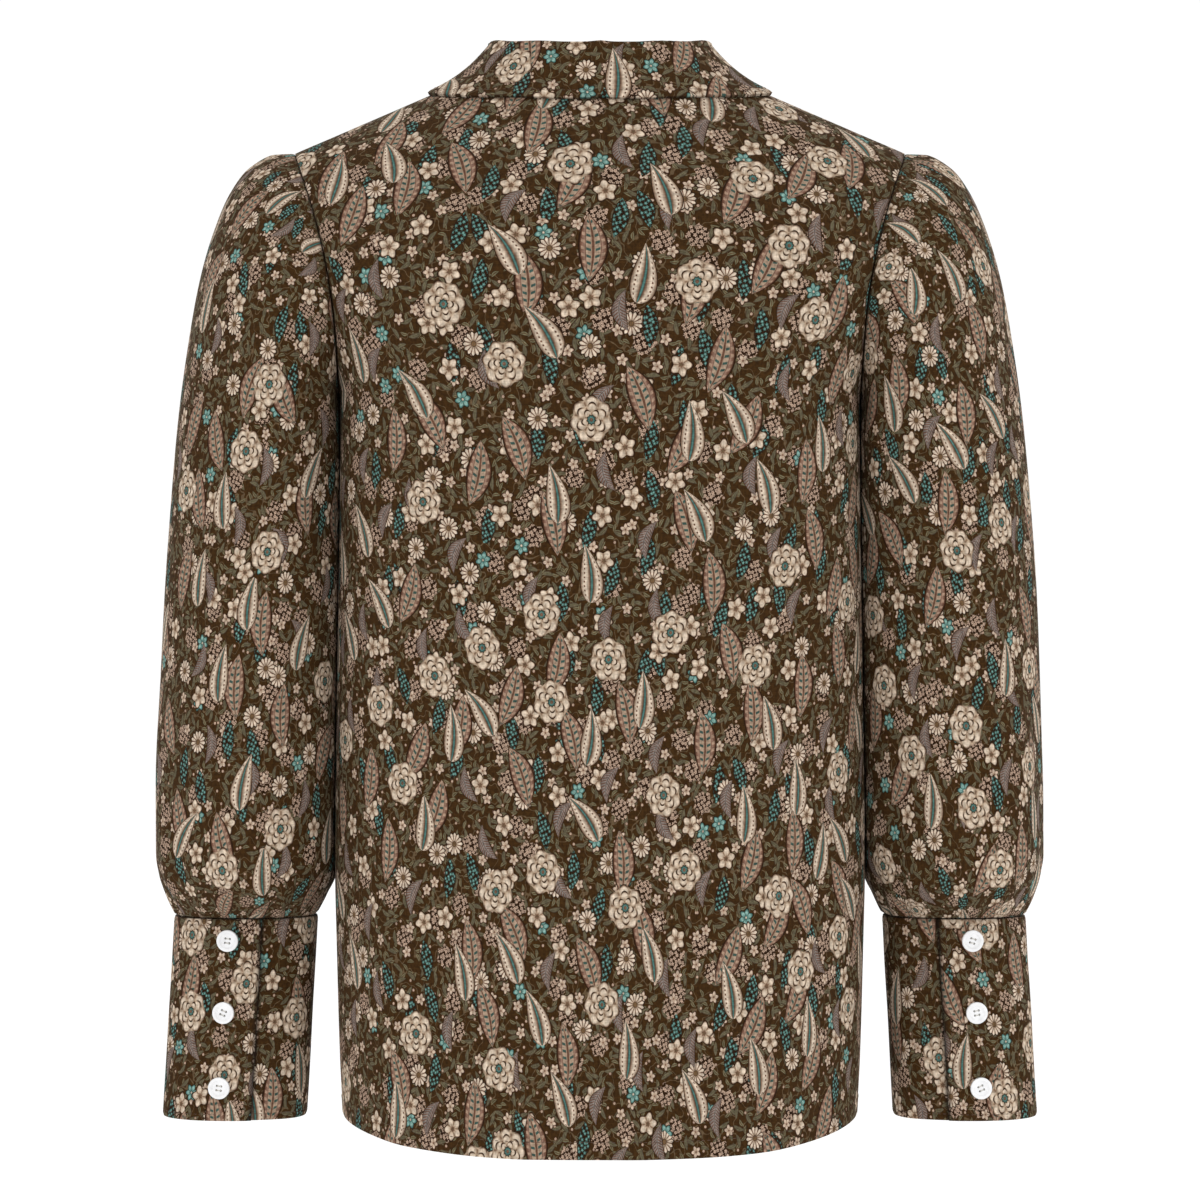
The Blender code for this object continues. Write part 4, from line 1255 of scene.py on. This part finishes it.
def printed_cotton(name, ink, roughness, sheen):
    """A matt print with faint streaks of uneven yarn and painted shade along seams and edges; ink is 1 on the
    right side and less on the reverse.
    """
    material = bpy.data.materials.new(name)
    material.use_nodes = True
    tree = material.node_tree
    shader = tree.nodes["Principled BSDF"]
    cloth = add(tree, "ShaderNodeUVMap", uv_map="Cloth").outputs[0]
    colour = add(tree, "ShaderNodeGroup", {}, node_tree=ditsy)
    tree.links.new(cloth, colour.inputs[0])
    colour = colour.outputs[0]
    if ink < 1:
        inked = add(tree, "ShaderNodeMix", {0: ink, 6: linear(BARE_COTTON), 7: colour}, data_type="RGBA")
        colour = inked.outputs[2]
    for stretch in ((1 / SLUB_LENGTH, 1 / SLUB_WIDTH, 1), (1 / SLUB_WIDTH, 1 / SLUB_LENGTH, 1)):
        scale = [value / MM for value in stretch]
        streaks = add(tree, "ShaderNodeVectorMath", {0: cloth, 1: scale}, operation="MULTIPLY").outputs[0]
        slub = add(tree, "ShaderNodeTexNoise", {"Vector": streaks, "Scale": 1.0, "Detail": 1.0},
                   noise_dimensions="2D").outputs[0]
        light = add(tree, "ShaderNodeMapRange", {"Value": slub, "From Min": 0.3, "From Max": 0.7,
                                                 "To Min": 0.9, "To Max": 1.1}).outputs[0]
        colour = add(tree, "ShaderNodeVectorMath", {0: colour, "Scale": light}, operation="SCALE").outputs[0]
    # Painted shade: the seam attribute darkens the colour towards near black in the grooves of seams, along
    # lapped edges and under the collar's edge, where shadow would fall.
    seam = add(tree, "ShaderNodeAttribute", attribute_name="seam").outputs["Fac"]
    shade = add(tree, "ShaderNodeMath", {0: seam, 1: 0.85}, operation="MULTIPLY").outputs[0]
    colour = add(tree, "ShaderNodeMix", {0: shade, 6: colour, 7: linear(PAINTED_SEAM_SHADOW)}, data_type="RGBA")
    tree.links.new(colour.outputs[2], shader.inputs["Base Color"])
    threads = add(tree, "ShaderNodeVectorMath", {0: cloth, "Scale": math.pi / (YARN * MM)}, operation="SCALE")
    ways = add(tree, "ShaderNodeSeparateXYZ", {0: threads.outputs[0]})
    warp = add(tree, "ShaderNodeMath", {0: ways.outputs[0]}, operation="SINE")
    weft = add(tree, "ShaderNodeMath", {0: ways.outputs[1]}, operation="SINE")
    weave = add(tree, "ShaderNodeMath", {0: warp.outputs[0], 1: weft.outputs[0]}, operation="MULTIPLY")
    bump = add(tree, "ShaderNodeBump", {"Height": weave.outputs[0], "Strength": 0.25, "Distance": 0.00005})
    tree.links.new(bump.outputs[0], shader.inputs["Normal"])
    shader.inputs["Roughness"].default_value = roughness
    shader.inputs["Specular IOR Level"].default_value = 0.1
    shader.inputs["Sheen Weight"].default_value = sheen
    shader.inputs["Sheen Roughness"].default_value = 0.5
    shader.inputs["Sheen Tint"].default_value = linear("#D8C8B4")
    return material


finishes = {}
for word, roughness, sheen in (("body", 0.92, 0.015), ("sleeve", 0.91, 0.018), ("trim", 0.90, 0.012)):
    finishes[word] = (printed_cotton(f"Printed cotton {word}, right side", 1.0, roughness, sheen),
                      printed_cotton(f"Printed cotton {word}, reverse", REVERSE_INK, roughness, sheen))
for name, piece in pieces.items():
    word = "body" if name.startswith(("back", "front")) else "sleeve" if name.startswith("sleeve") else "trim"
    right_side, reverse = finishes[word]
    piece.data.materials.append(right_side)
    piece.data.materials.append(right_side if word == "trim" else reverse)
print(len(finishes), "printed cloths, each with a reverse")

# %% Thread and button resin
def dull_thread(name, colour, light_colour):
    """Matt thread, mottled light and dark about half a millimetre apart: painted light and shade in place of
    its fine twist.
    """
    material = bpy.data.materials.new(name)
    material.use_nodes = True
    tree = material.node_tree
    shader = tree.nodes["Principled BSDF"]
    place = add(tree, "ShaderNodeTexCoord").outputs["Object"]
    twist = add(tree, "ShaderNodeTexNoise", {"Vector": place, "Scale": 2000.0, "Detail": 1.0}).outputs[0]
    turns = add(tree, "ShaderNodeValToRGB", {0: twist})
    turns.color_ramp.elements[0].position, turns.color_ramp.elements[0].color = 0.38, linear(colour)
    turns.color_ramp.elements[1].position, turns.color_ramp.elements[1].color = 0.62, linear(light_colour)
    tree.links.new(turns.outputs[0], shader.inputs["Base Color"])
    shader.inputs["Roughness"].default_value = 0.7
    return material


brown_thread = dull_thread("Brown sewing thread", "#3A261A", "#5A4130")
white_thread = dull_thread("White button thread", "#B9B6B0", "#DAD8D2")

white_resin = bpy.data.materials.new("White button resin, satin polish")
white_resin.use_nodes = True
tree = white_resin.node_tree
shader = tree.nodes["Principled BSDF"]
place = add(tree, "ShaderNodeTexCoord").outputs["Object"]
cloud = add(tree, "ShaderNodeTexNoise", {"Vector": place, "Scale": 220.0, "Detail": 2.0}).outputs[0]
pearl = add(tree, "ShaderNodeValToRGB", {0: cloud})
pearl.color_ramp.elements[0].position, pearl.color_ramp.elements[0].color = 0.3, linear("#E2E2E3")
pearl.color_ramp.elements[1].position, pearl.color_ramp.elements[1].color = 0.7, linear("#EEEEEF")
tree.links.new(pearl.outputs[0], shader.inputs["Base Color"])
shader.inputs["Roughness"].default_value = 0.28
shader.inputs["Coat Weight"].default_value = 0.25
shader.inputs["Coat Roughness"].default_value = 0.15
print("thread and resin are mixed")

# %% [markdown]
# ## Stitches
# The hem, the folded edge of the right front, the collar and the cuffs are held by one row of machine
# stitches each. One stitch is a short rounded bar that sinks a little into the cloth at both ends. It is
# modelled once, copied along each row at the machine's pitch, and turned to lie flat on the cloth.

# %% One stitch, and rows of it
STITCH_PITCH = 3.2
STITCH_SIZE = (2.3, 0.42, 0.36)
select_none()
bpy.ops.mesh.primitive_uv_sphere_add(segments=6, ring_count=4, radius=0.5, rotation=(0, math.pi / 2, 0))
stitch = bpy.context.object
bpy.ops.object.transform_apply(rotation=True)
stitch.scale = STITCH_SIZE
bpy.ops.object.transform_apply(scale=True)
bpy.ops.object.shade_smooth()
stitch.data.materials.append(brown_thread)
stitch.name = stitch.data.name = "stitch"


def on_face(at):
    return at.point + at.normal * at.relief


def stitch_row(places):
    """Copies of the stitch along a row of Places, in millimetres."""
    points = [on_face(at) for at in places]
    normals = [at.normal for at in places]
    lengths = tape(points)
    count = round(lengths[-1] / STITCH_PITCH)
    copies = []
    for i in range(count):
        gone = lengths[-1] * (i + 0.5) / count
        start = read_tape(points, lengths, gone - STITCH_SIZE[0] / 2)
        along = (read_tape(points, lengths, gone + STITCH_SIZE[0] / 2) - start).normalized()
        up = read_tape(normals, lengths, gone)
        across = up.cross(along).normalized()
        turn = Matrix((along, across, along.cross(across))).transposed().to_4x4()
        copy = stitch.copy()
        copy.data = stitch.data.copy()
        copy.data.transform(Matrix.Scale(MM, 4) @ Matrix.Translation(read_tape(points, lengths, gone)) @ turn)
        bpy.context.collection.objects.link(copy)
        copies.append(copy)
    return copies


def join_stitches(name, copies):
    select_none()
    for copy in copies:
        copy.select_set(True)
    bpy.context.view_layer.objects.active = copies[0]
    bpy.ops.object.join()
    copies[0].name = copies[0].data.name = name
    pieces[name] = copies[0]
    print(name, len(copies), "stitches")


def share_where(test, low=0.0, high=1.0):
    """The share between low and high where a test turns from false to true."""
    for _ in range(30):
        middle = (low + high) / 2
        low, high = (low, middle) if test(middle) else (middle, high)
    return high


# %% Hems and front edges
FRONT_FOLD = 26.0
ROW_STEPS = 160


def hem_row(place, low, high):
    """Places along a hem, a little over its step, between two shares across."""
    row = []
    for i in range(ROW_STEPS + 1):
        across = low + (high - low) * i / ROW_STEPS
        edge = place(across, 1.0).point.z
        down = share_where(lambda share: place(across, share).point.z - edge < HEM_HEIGHT - 1.5, 0.9, 1.0)
        row.append(place(across, down))
    return row


join_stitches("back_stitches", stitch_row(hem_row(back_place, 0.01, 0.99)))
for word, side in SIDES:
    place = functools.partial(front_place, side)
    rows = stitch_row(hem_row(place, 0.01, 0.99))
    if side > 0:
        join_stitches(f"front_{word}_stitches", rows)
        continue
    fold_line = []
    for i in range(ROW_STEPS + 1):
        level = between(-12, HEM_SIDE_Z + 3, i / ROW_STEPS)
        down = share_where(lambda share: panel_level(share) < level)
        whole = section_tape(level, -1)[1][-1]
        aim = (FRONT_FOLD - 1.5) / (whole + LAP_HALF_WIDTH)
        fold_line.append(place(share_where(lambda share: crowd(share, PANEL_CROWD) > aim), down))
    join_stitches(f"front_{word}_stitches", rows + stitch_row(fold_line))

# %% Collar and cuffs
EDGE_STITCH = 5.0
COLLAR_STITCH_START = 0.56
CUFF_STITCH = 4.0


def collar_down(across):
    """The share down the collar where the stitches run, inside its edge."""
    angle = read_tape(neck_angles, neck_lengths, abs(2 * crowd(across, COLLAR_CROWD) - 1) * neck_lengths[-1])
    aim = 1 - EDGE_STITCH / collar_section(angle)[1][-1]
    return share_where(lambda share: crowd(share, FALL_CROWD) > aim)


def collar_across(down):
    """The share across the collar where the stitches run down its right front edge."""
    edge = on_face(collar_place(0.0, down))

    def far_in(share):
        return (on_face(collar_place(share, down)) - edge).length > EDGE_STITCH

    return share_where(far_in, high=0.2)


corner = collar_across(collar_down(collar_across(0.9)))
front_edge = [COLLAR_STITCH_START + (collar_down(corner) - COLLAR_STITCH_START) * i / 40 for i in range(40)]
path = [(collar_across(down), down) for down in front_edge]
path += [(across, collar_down(across)) for across in
         (corner + (1 - 2 * corner) * i / (2 * ROW_STEPS) for i in range(2 * ROW_STEPS + 1))]
path += [(1 - across, down) for across, down in reversed(path[:40])]
join_stitches("collar_stitches", stitch_row([collar_place(*at) for at in path]))

cuff_levels = [share_where(lambda share: crowd(share, CUFF_CROWD) * CUFF_HEIGHT > aim)
               for aim in (CUFF_STITCH, CUFF_HEIGHT - CUFF_STITCH)]
cuff_start = CUFF_STITCH / tape([cuff_place(1, i / 100, 0.5).point for i in range(101)])[-1]
cuff_end = 360 / (360 + CUFF_LAP) - 0.004
for word, side in SIDES:
    loop = [(between(cuff_end, cuff_start, i / ROW_STEPS), cuff_levels[0]) for i in range(ROW_STEPS + 1)]
    loop += [(cuff_start, between(*cuff_levels, i / 40)) for i in range(1, 40)]
    loop += [(between(cuff_start, cuff_end, i / ROW_STEPS), cuff_levels[1]) for i in range(ROW_STEPS + 1)]
    join_stitches(f"cuff_{word}_stitches", stitch_row([cuff_place(side, *at) for at in loop]))
bpy.data.objects.remove(stitch)

# %% [markdown]
# ## Buttons
# A resin button is turned from a disc: a raised rim, a dished middle and four holes. Thread crosses the dish
# in two pairs of strands. The button is modelled once, in millimetres, and set on the cloth where the plain
# model has its own. Its tilt comes from four points of cloth felt round it with rays.

# %% One button with its thread
BUTTON_RADIUS = 6.8
BUTTON_THICKNESS = 2.4
BUTTON_RIM = 1.7
BUTTON_DISH = 1.0
HOLE_SPACING = 2.7
HOLE_RADIUS = 0.7
STRAND = (HOLE_SPACING + 0.9, 0.42, 0.42)

select_none()
bpy.ops.mesh.primitive_cylinder_add(vertices=48, radius=BUTTON_RADIUS, depth=BUTTON_THICKNESS)
button = bpy.context.object
select_faces(button, lambda face: face.normal.z > 0.9)
bpy.ops.object.mode_set(mode="EDIT")
for inset, fall in ((BUTTON_RIM, 0.0), (0.5, 0.45), (0.6, 0.35), (0.9, 0.2)):
    bpy.ops.mesh.inset(thickness=inset)
    bpy.ops.transform.translate(value=(0, 0, -fall * BUTTON_DISH))
bpy.ops.object.mode_set(mode="OBJECT")
rim = button.modifiers.new("rounded rim", "BEVEL")
rim.width, rim.segments, rim.limit_method, rim.angle_limit = 0.55, 4, "ANGLE", math.radians(40)
bpy.ops.object.modifier_apply(modifier=rim.name)
for x in (-HOLE_SPACING / 2, HOLE_SPACING / 2):
    for y in (-HOLE_SPACING / 2, HOLE_SPACING / 2):
        bpy.ops.mesh.primitive_cylinder_add(vertices=16, radius=HOLE_RADIUS, depth=9, location=(x, y, 0))
        drill = bpy.context.object
        hole = button.modifiers.new("hole", "BOOLEAN")
        hole.object, hole.operation, hole.solver = drill, "DIFFERENCE", "EXACT"
        bpy.context.view_layer.objects.active = button
        bpy.ops.object.modifier_apply(modifier=hole.name)
        bpy.data.objects.remove(drill)
select_none()
button.select_set(True)
bpy.context.view_layer.objects.active = button
bpy.ops.object.shade_smooth_by_angle(angle=math.radians(35))
button.data.materials.append(white_resin)

select_none()
strands = []
for y in (-HOLE_SPACING / 2, HOLE_SPACING / 2):
    for beside, tilt in ((-0.2, 0.06), (0.2, -0.08)):
        height = BUTTON_THICKNESS / 2 - BUTTON_DISH + 0.08
        bpy.ops.mesh.primitive_uv_sphere_add(segments=10, ring_count=8, radius=0.5, rotation=(0, 0, tilt),
                                             location=(0, y + beside, height))
        bpy.context.object.scale = STRAND
        strands.append(bpy.context.object)
for strand in strands:
    strand.select_set(True)
bpy.ops.object.transform_apply()
bpy.ops.object.join()
bpy.ops.object.shade_smooth()
button_thread = bpy.context.object
button_thread.data.materials.append(white_thread)
print("one button has", len(button.data.polygons), "faces, its thread", len(button_thread.data.polygons))

# %% Buttons on the cloth
BUTTON_LIFT = 0.35
CUFF_BUTTON_ANGLE = 82.0
FEEL_DISTANCE = 4.0


def feel(cloth, near, outward, aside):
    """Where a ray from outside, moved aside, meets a cloth; all in metres."""
    hit, place, _, _ = cloth.ray_cast(near + outward * 0.05 + aside, -outward)
    return place if hit else None


def set_button(node, cloth, outward, roll):
    """Place copies of the button and its thread over a CAD button, flat on the cloth under it."""
    low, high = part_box(node)
    middle = (low + high) / 2
    sideways = outward.cross(UP).normalized() * FEEL_DISTANCE * MM
    upward = UP * FEEL_DISTANCE * MM
    left, right, over, under = (feel(cloth, middle, outward, aside)
                                for aside in (-sideways, sideways, upward, -upward))
    normal = (over - under).cross(left - right).normalized()
    normal = normal if normal.dot(outward) > 0 else -normal
    seat = (left + right + over + under) / 4
    seat += normal * (BUTTON_THICKNESS / 2 + BUTTON_LIFT) * MM
    turn = normal.to_track_quat("Z", "Y").to_matrix().to_4x4() @ Matrix.Rotation(roll, 4, "Z")
    for source, name in ((button, f"{node}_resin"), (button_thread, f"{node}_thread")):
        copy = source.copy()
        copy.data = source.data.copy()
        copy.data.transform(Matrix.Translation(seat) @ turn @ Matrix.Scale(MM, 4))
        copy.name = copy.data.name = name
        bpy.context.collection.objects.link(copy)
        pieces[name] = copy
    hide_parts(node)
    return (seat - middle).length / MM


buttons_off = []
for node in sorted(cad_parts):
    if "button" not in node:
        continue
    number = int(node.rsplit("_", 1)[1])
    if node.startswith("front"):
        off = set_button(node, pieces["front_right_cloth"], Vector((0, -1, 0)), 0.4 * math.sin(7.0 * number))
    else:
        side, word = (1, "left") if "left" in node else (-1, "right")
        out = cuff_point(CUFF_BUTTON_ANGLE, 0.5, 1) - cuff_point(CUFF_BUTTON_ANGLE, 0.5)
        outward = Vector((side * out.x, out.y, 0)).normalized()
        off = set_button(node, pieces[f"cuff_{word}_cloth"], outward, 0.4 * math.sin(5.0 * number + side))
    buttons_off.append(off)
bpy.data.objects.remove(button)
bpy.data.objects.remove(button_thread)
print(len(buttons_off), "buttons, at most", round(max(buttons_off), 2), "mm from the plain model's own")

# %% [markdown]
# ## Cuts and one body
# Each cloth replaces its stiff solid. Its cut is what the piece measured when it was laid flat, and the area
# of that outline. The whole blouse is one body, because it only hangs.

# %% Cut and ride
Hold = namedtuple("Hold", "held slot rests_on carries")
HOLDS = {
    "back": Hold("hung", "body_cloth", (), ("back_stitches",)),
    "front_left": Hold("hung", "body_cloth", ("back_cloth",), ("front_left_stitches",)),
    "front_right": Hold("hung", "body_cloth", ("back_cloth", "front_left_cloth"), ("front_right_stitches",)),
    "sleeve_left": Hold("gathered", "sleeve_cloth", ("back_cloth", "front_left_cloth"), ()),
    "sleeve_right": Hold("gathered", "sleeve_cloth", ("back_cloth", "front_right_cloth"), ()),
    "cuff_left": Hold("folded", "trim_cloth", ("sleeve_left_cloth",), ("cuff_left_stitches",)),
    "cuff_right": Hold("folded", "trim_cloth", ("sleeve_right_cloth",), ("cuff_right_stitches",)),
    "collar": Hold("folded", "trim_cloth", ("back_cloth",), ("collar_stitches",)),
}

for node, hold in HOLDS.items():
    piece = pieces[f"{node}_cloth"]
    width, length, area = cuts[piece.name]
    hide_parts(node)
    print(f"{node}: {width:.3f} x {length:.3f} m, {area:.3f} m2 of cut cloth")
for name, piece in pieces.items():
    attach(piece, "root")

# %% [markdown]
# ## Stage
# The blouse floats upright as if worn, over a plain pale floor, in broad soft light from both sides.

# %% Floor
FLOOR_DROP = 0.9
bpy.ops.mesh.primitive_plane_add(size=40.0, location=(0, 0, cad_box[0][2] - FLOOR_DROP))
floor = bpy.context.object
floor.name = "studio_floor"
paper = bpy.data.materials.new("Matt white studio paper")
paper.use_nodes = True
tree = paper.node_tree
place = add(tree, "ShaderNodeTexCoord").outputs["Object"]
fibre = add(tree, "ShaderNodeTexNoise", {"Vector": place, "Scale": 40.0, "Detail": 3.0}).outputs[0]
pulp = add(tree, "ShaderNodeValToRGB", {0: fibre})
pulp.color_ramp.elements[0].color = linear("#F4F4F4")
pulp.color_ramp.elements[1].color = linear("#FAFAFA")
shader = tree.nodes["Principled BSDF"]
tree.links.new(pulp.outputs[0], shader.inputs["Base Color"])
shader.inputs["Roughness"].default_value = 0.9
shader.inputs["Emission Color"].default_value = (1.0, 1.0, 1.0, 1.0)
shader.inputs["Emission Strength"].default_value = 0.12
floor.data.materials.append(paper)
print("the floor lies", FLOOR_DROP, "m under the hem")

# %% Light and camera
CAMERA_DISTANCE = 2.1
CAMERA_HEIGHT = -0.3345
LENS = 100.0

world = bpy.data.worlds.new("Studio")
bpy.context.scene.world = world
world.use_nodes = True
sky = world.node_tree.nodes["Background"]
sky.inputs["Color"].default_value = (1.0, 1.0, 1.0, 1.0)
sky.inputs["Strength"].default_value = 1.03

for name, place, size, power in (("soft light, behind on the left", (1.3, 2.6, 0.3), 1.8, 7.0),
                                 ("soft light, behind on the right", (-1.5, 2.5, 0.5), 1.8, 8.5),
                                 ("soft light, front on the left", (1.5, -2.4, 0.6), 1.8, 7.0),
                                 ("soft light, front on the right", (-1.2, -2.6, 0.4), 1.8, 6.0)):
    light = bpy.data.objects.new(name, bpy.data.lights.new(name, "AREA"))
    light.data.energy, light.data.size = power, size
    light.location = place
    light.rotation_euler = (Vector((0, 0, -0.3)) - Vector(place)).to_track_quat("-Z", "Y").to_euler()
    bpy.context.collection.objects.link(light)

camera = bpy.data.objects.new("camera", bpy.data.cameras.new("camera"))
camera.data.lens, camera.data.sensor_width = LENS, 36.0
camera.location = (0, CAMERA_DISTANCE, CAMERA_HEIGHT)
camera.rotation_euler = (math.pi / 2, 0, math.pi)
bpy.context.collection.objects.link(camera)
bpy.context.scene.camera = camera
bpy.context.scene.view_settings.view_transform = "Standard"
print("the camera stands", CAMERA_DISTANCE, "m behind the middle of the neck")
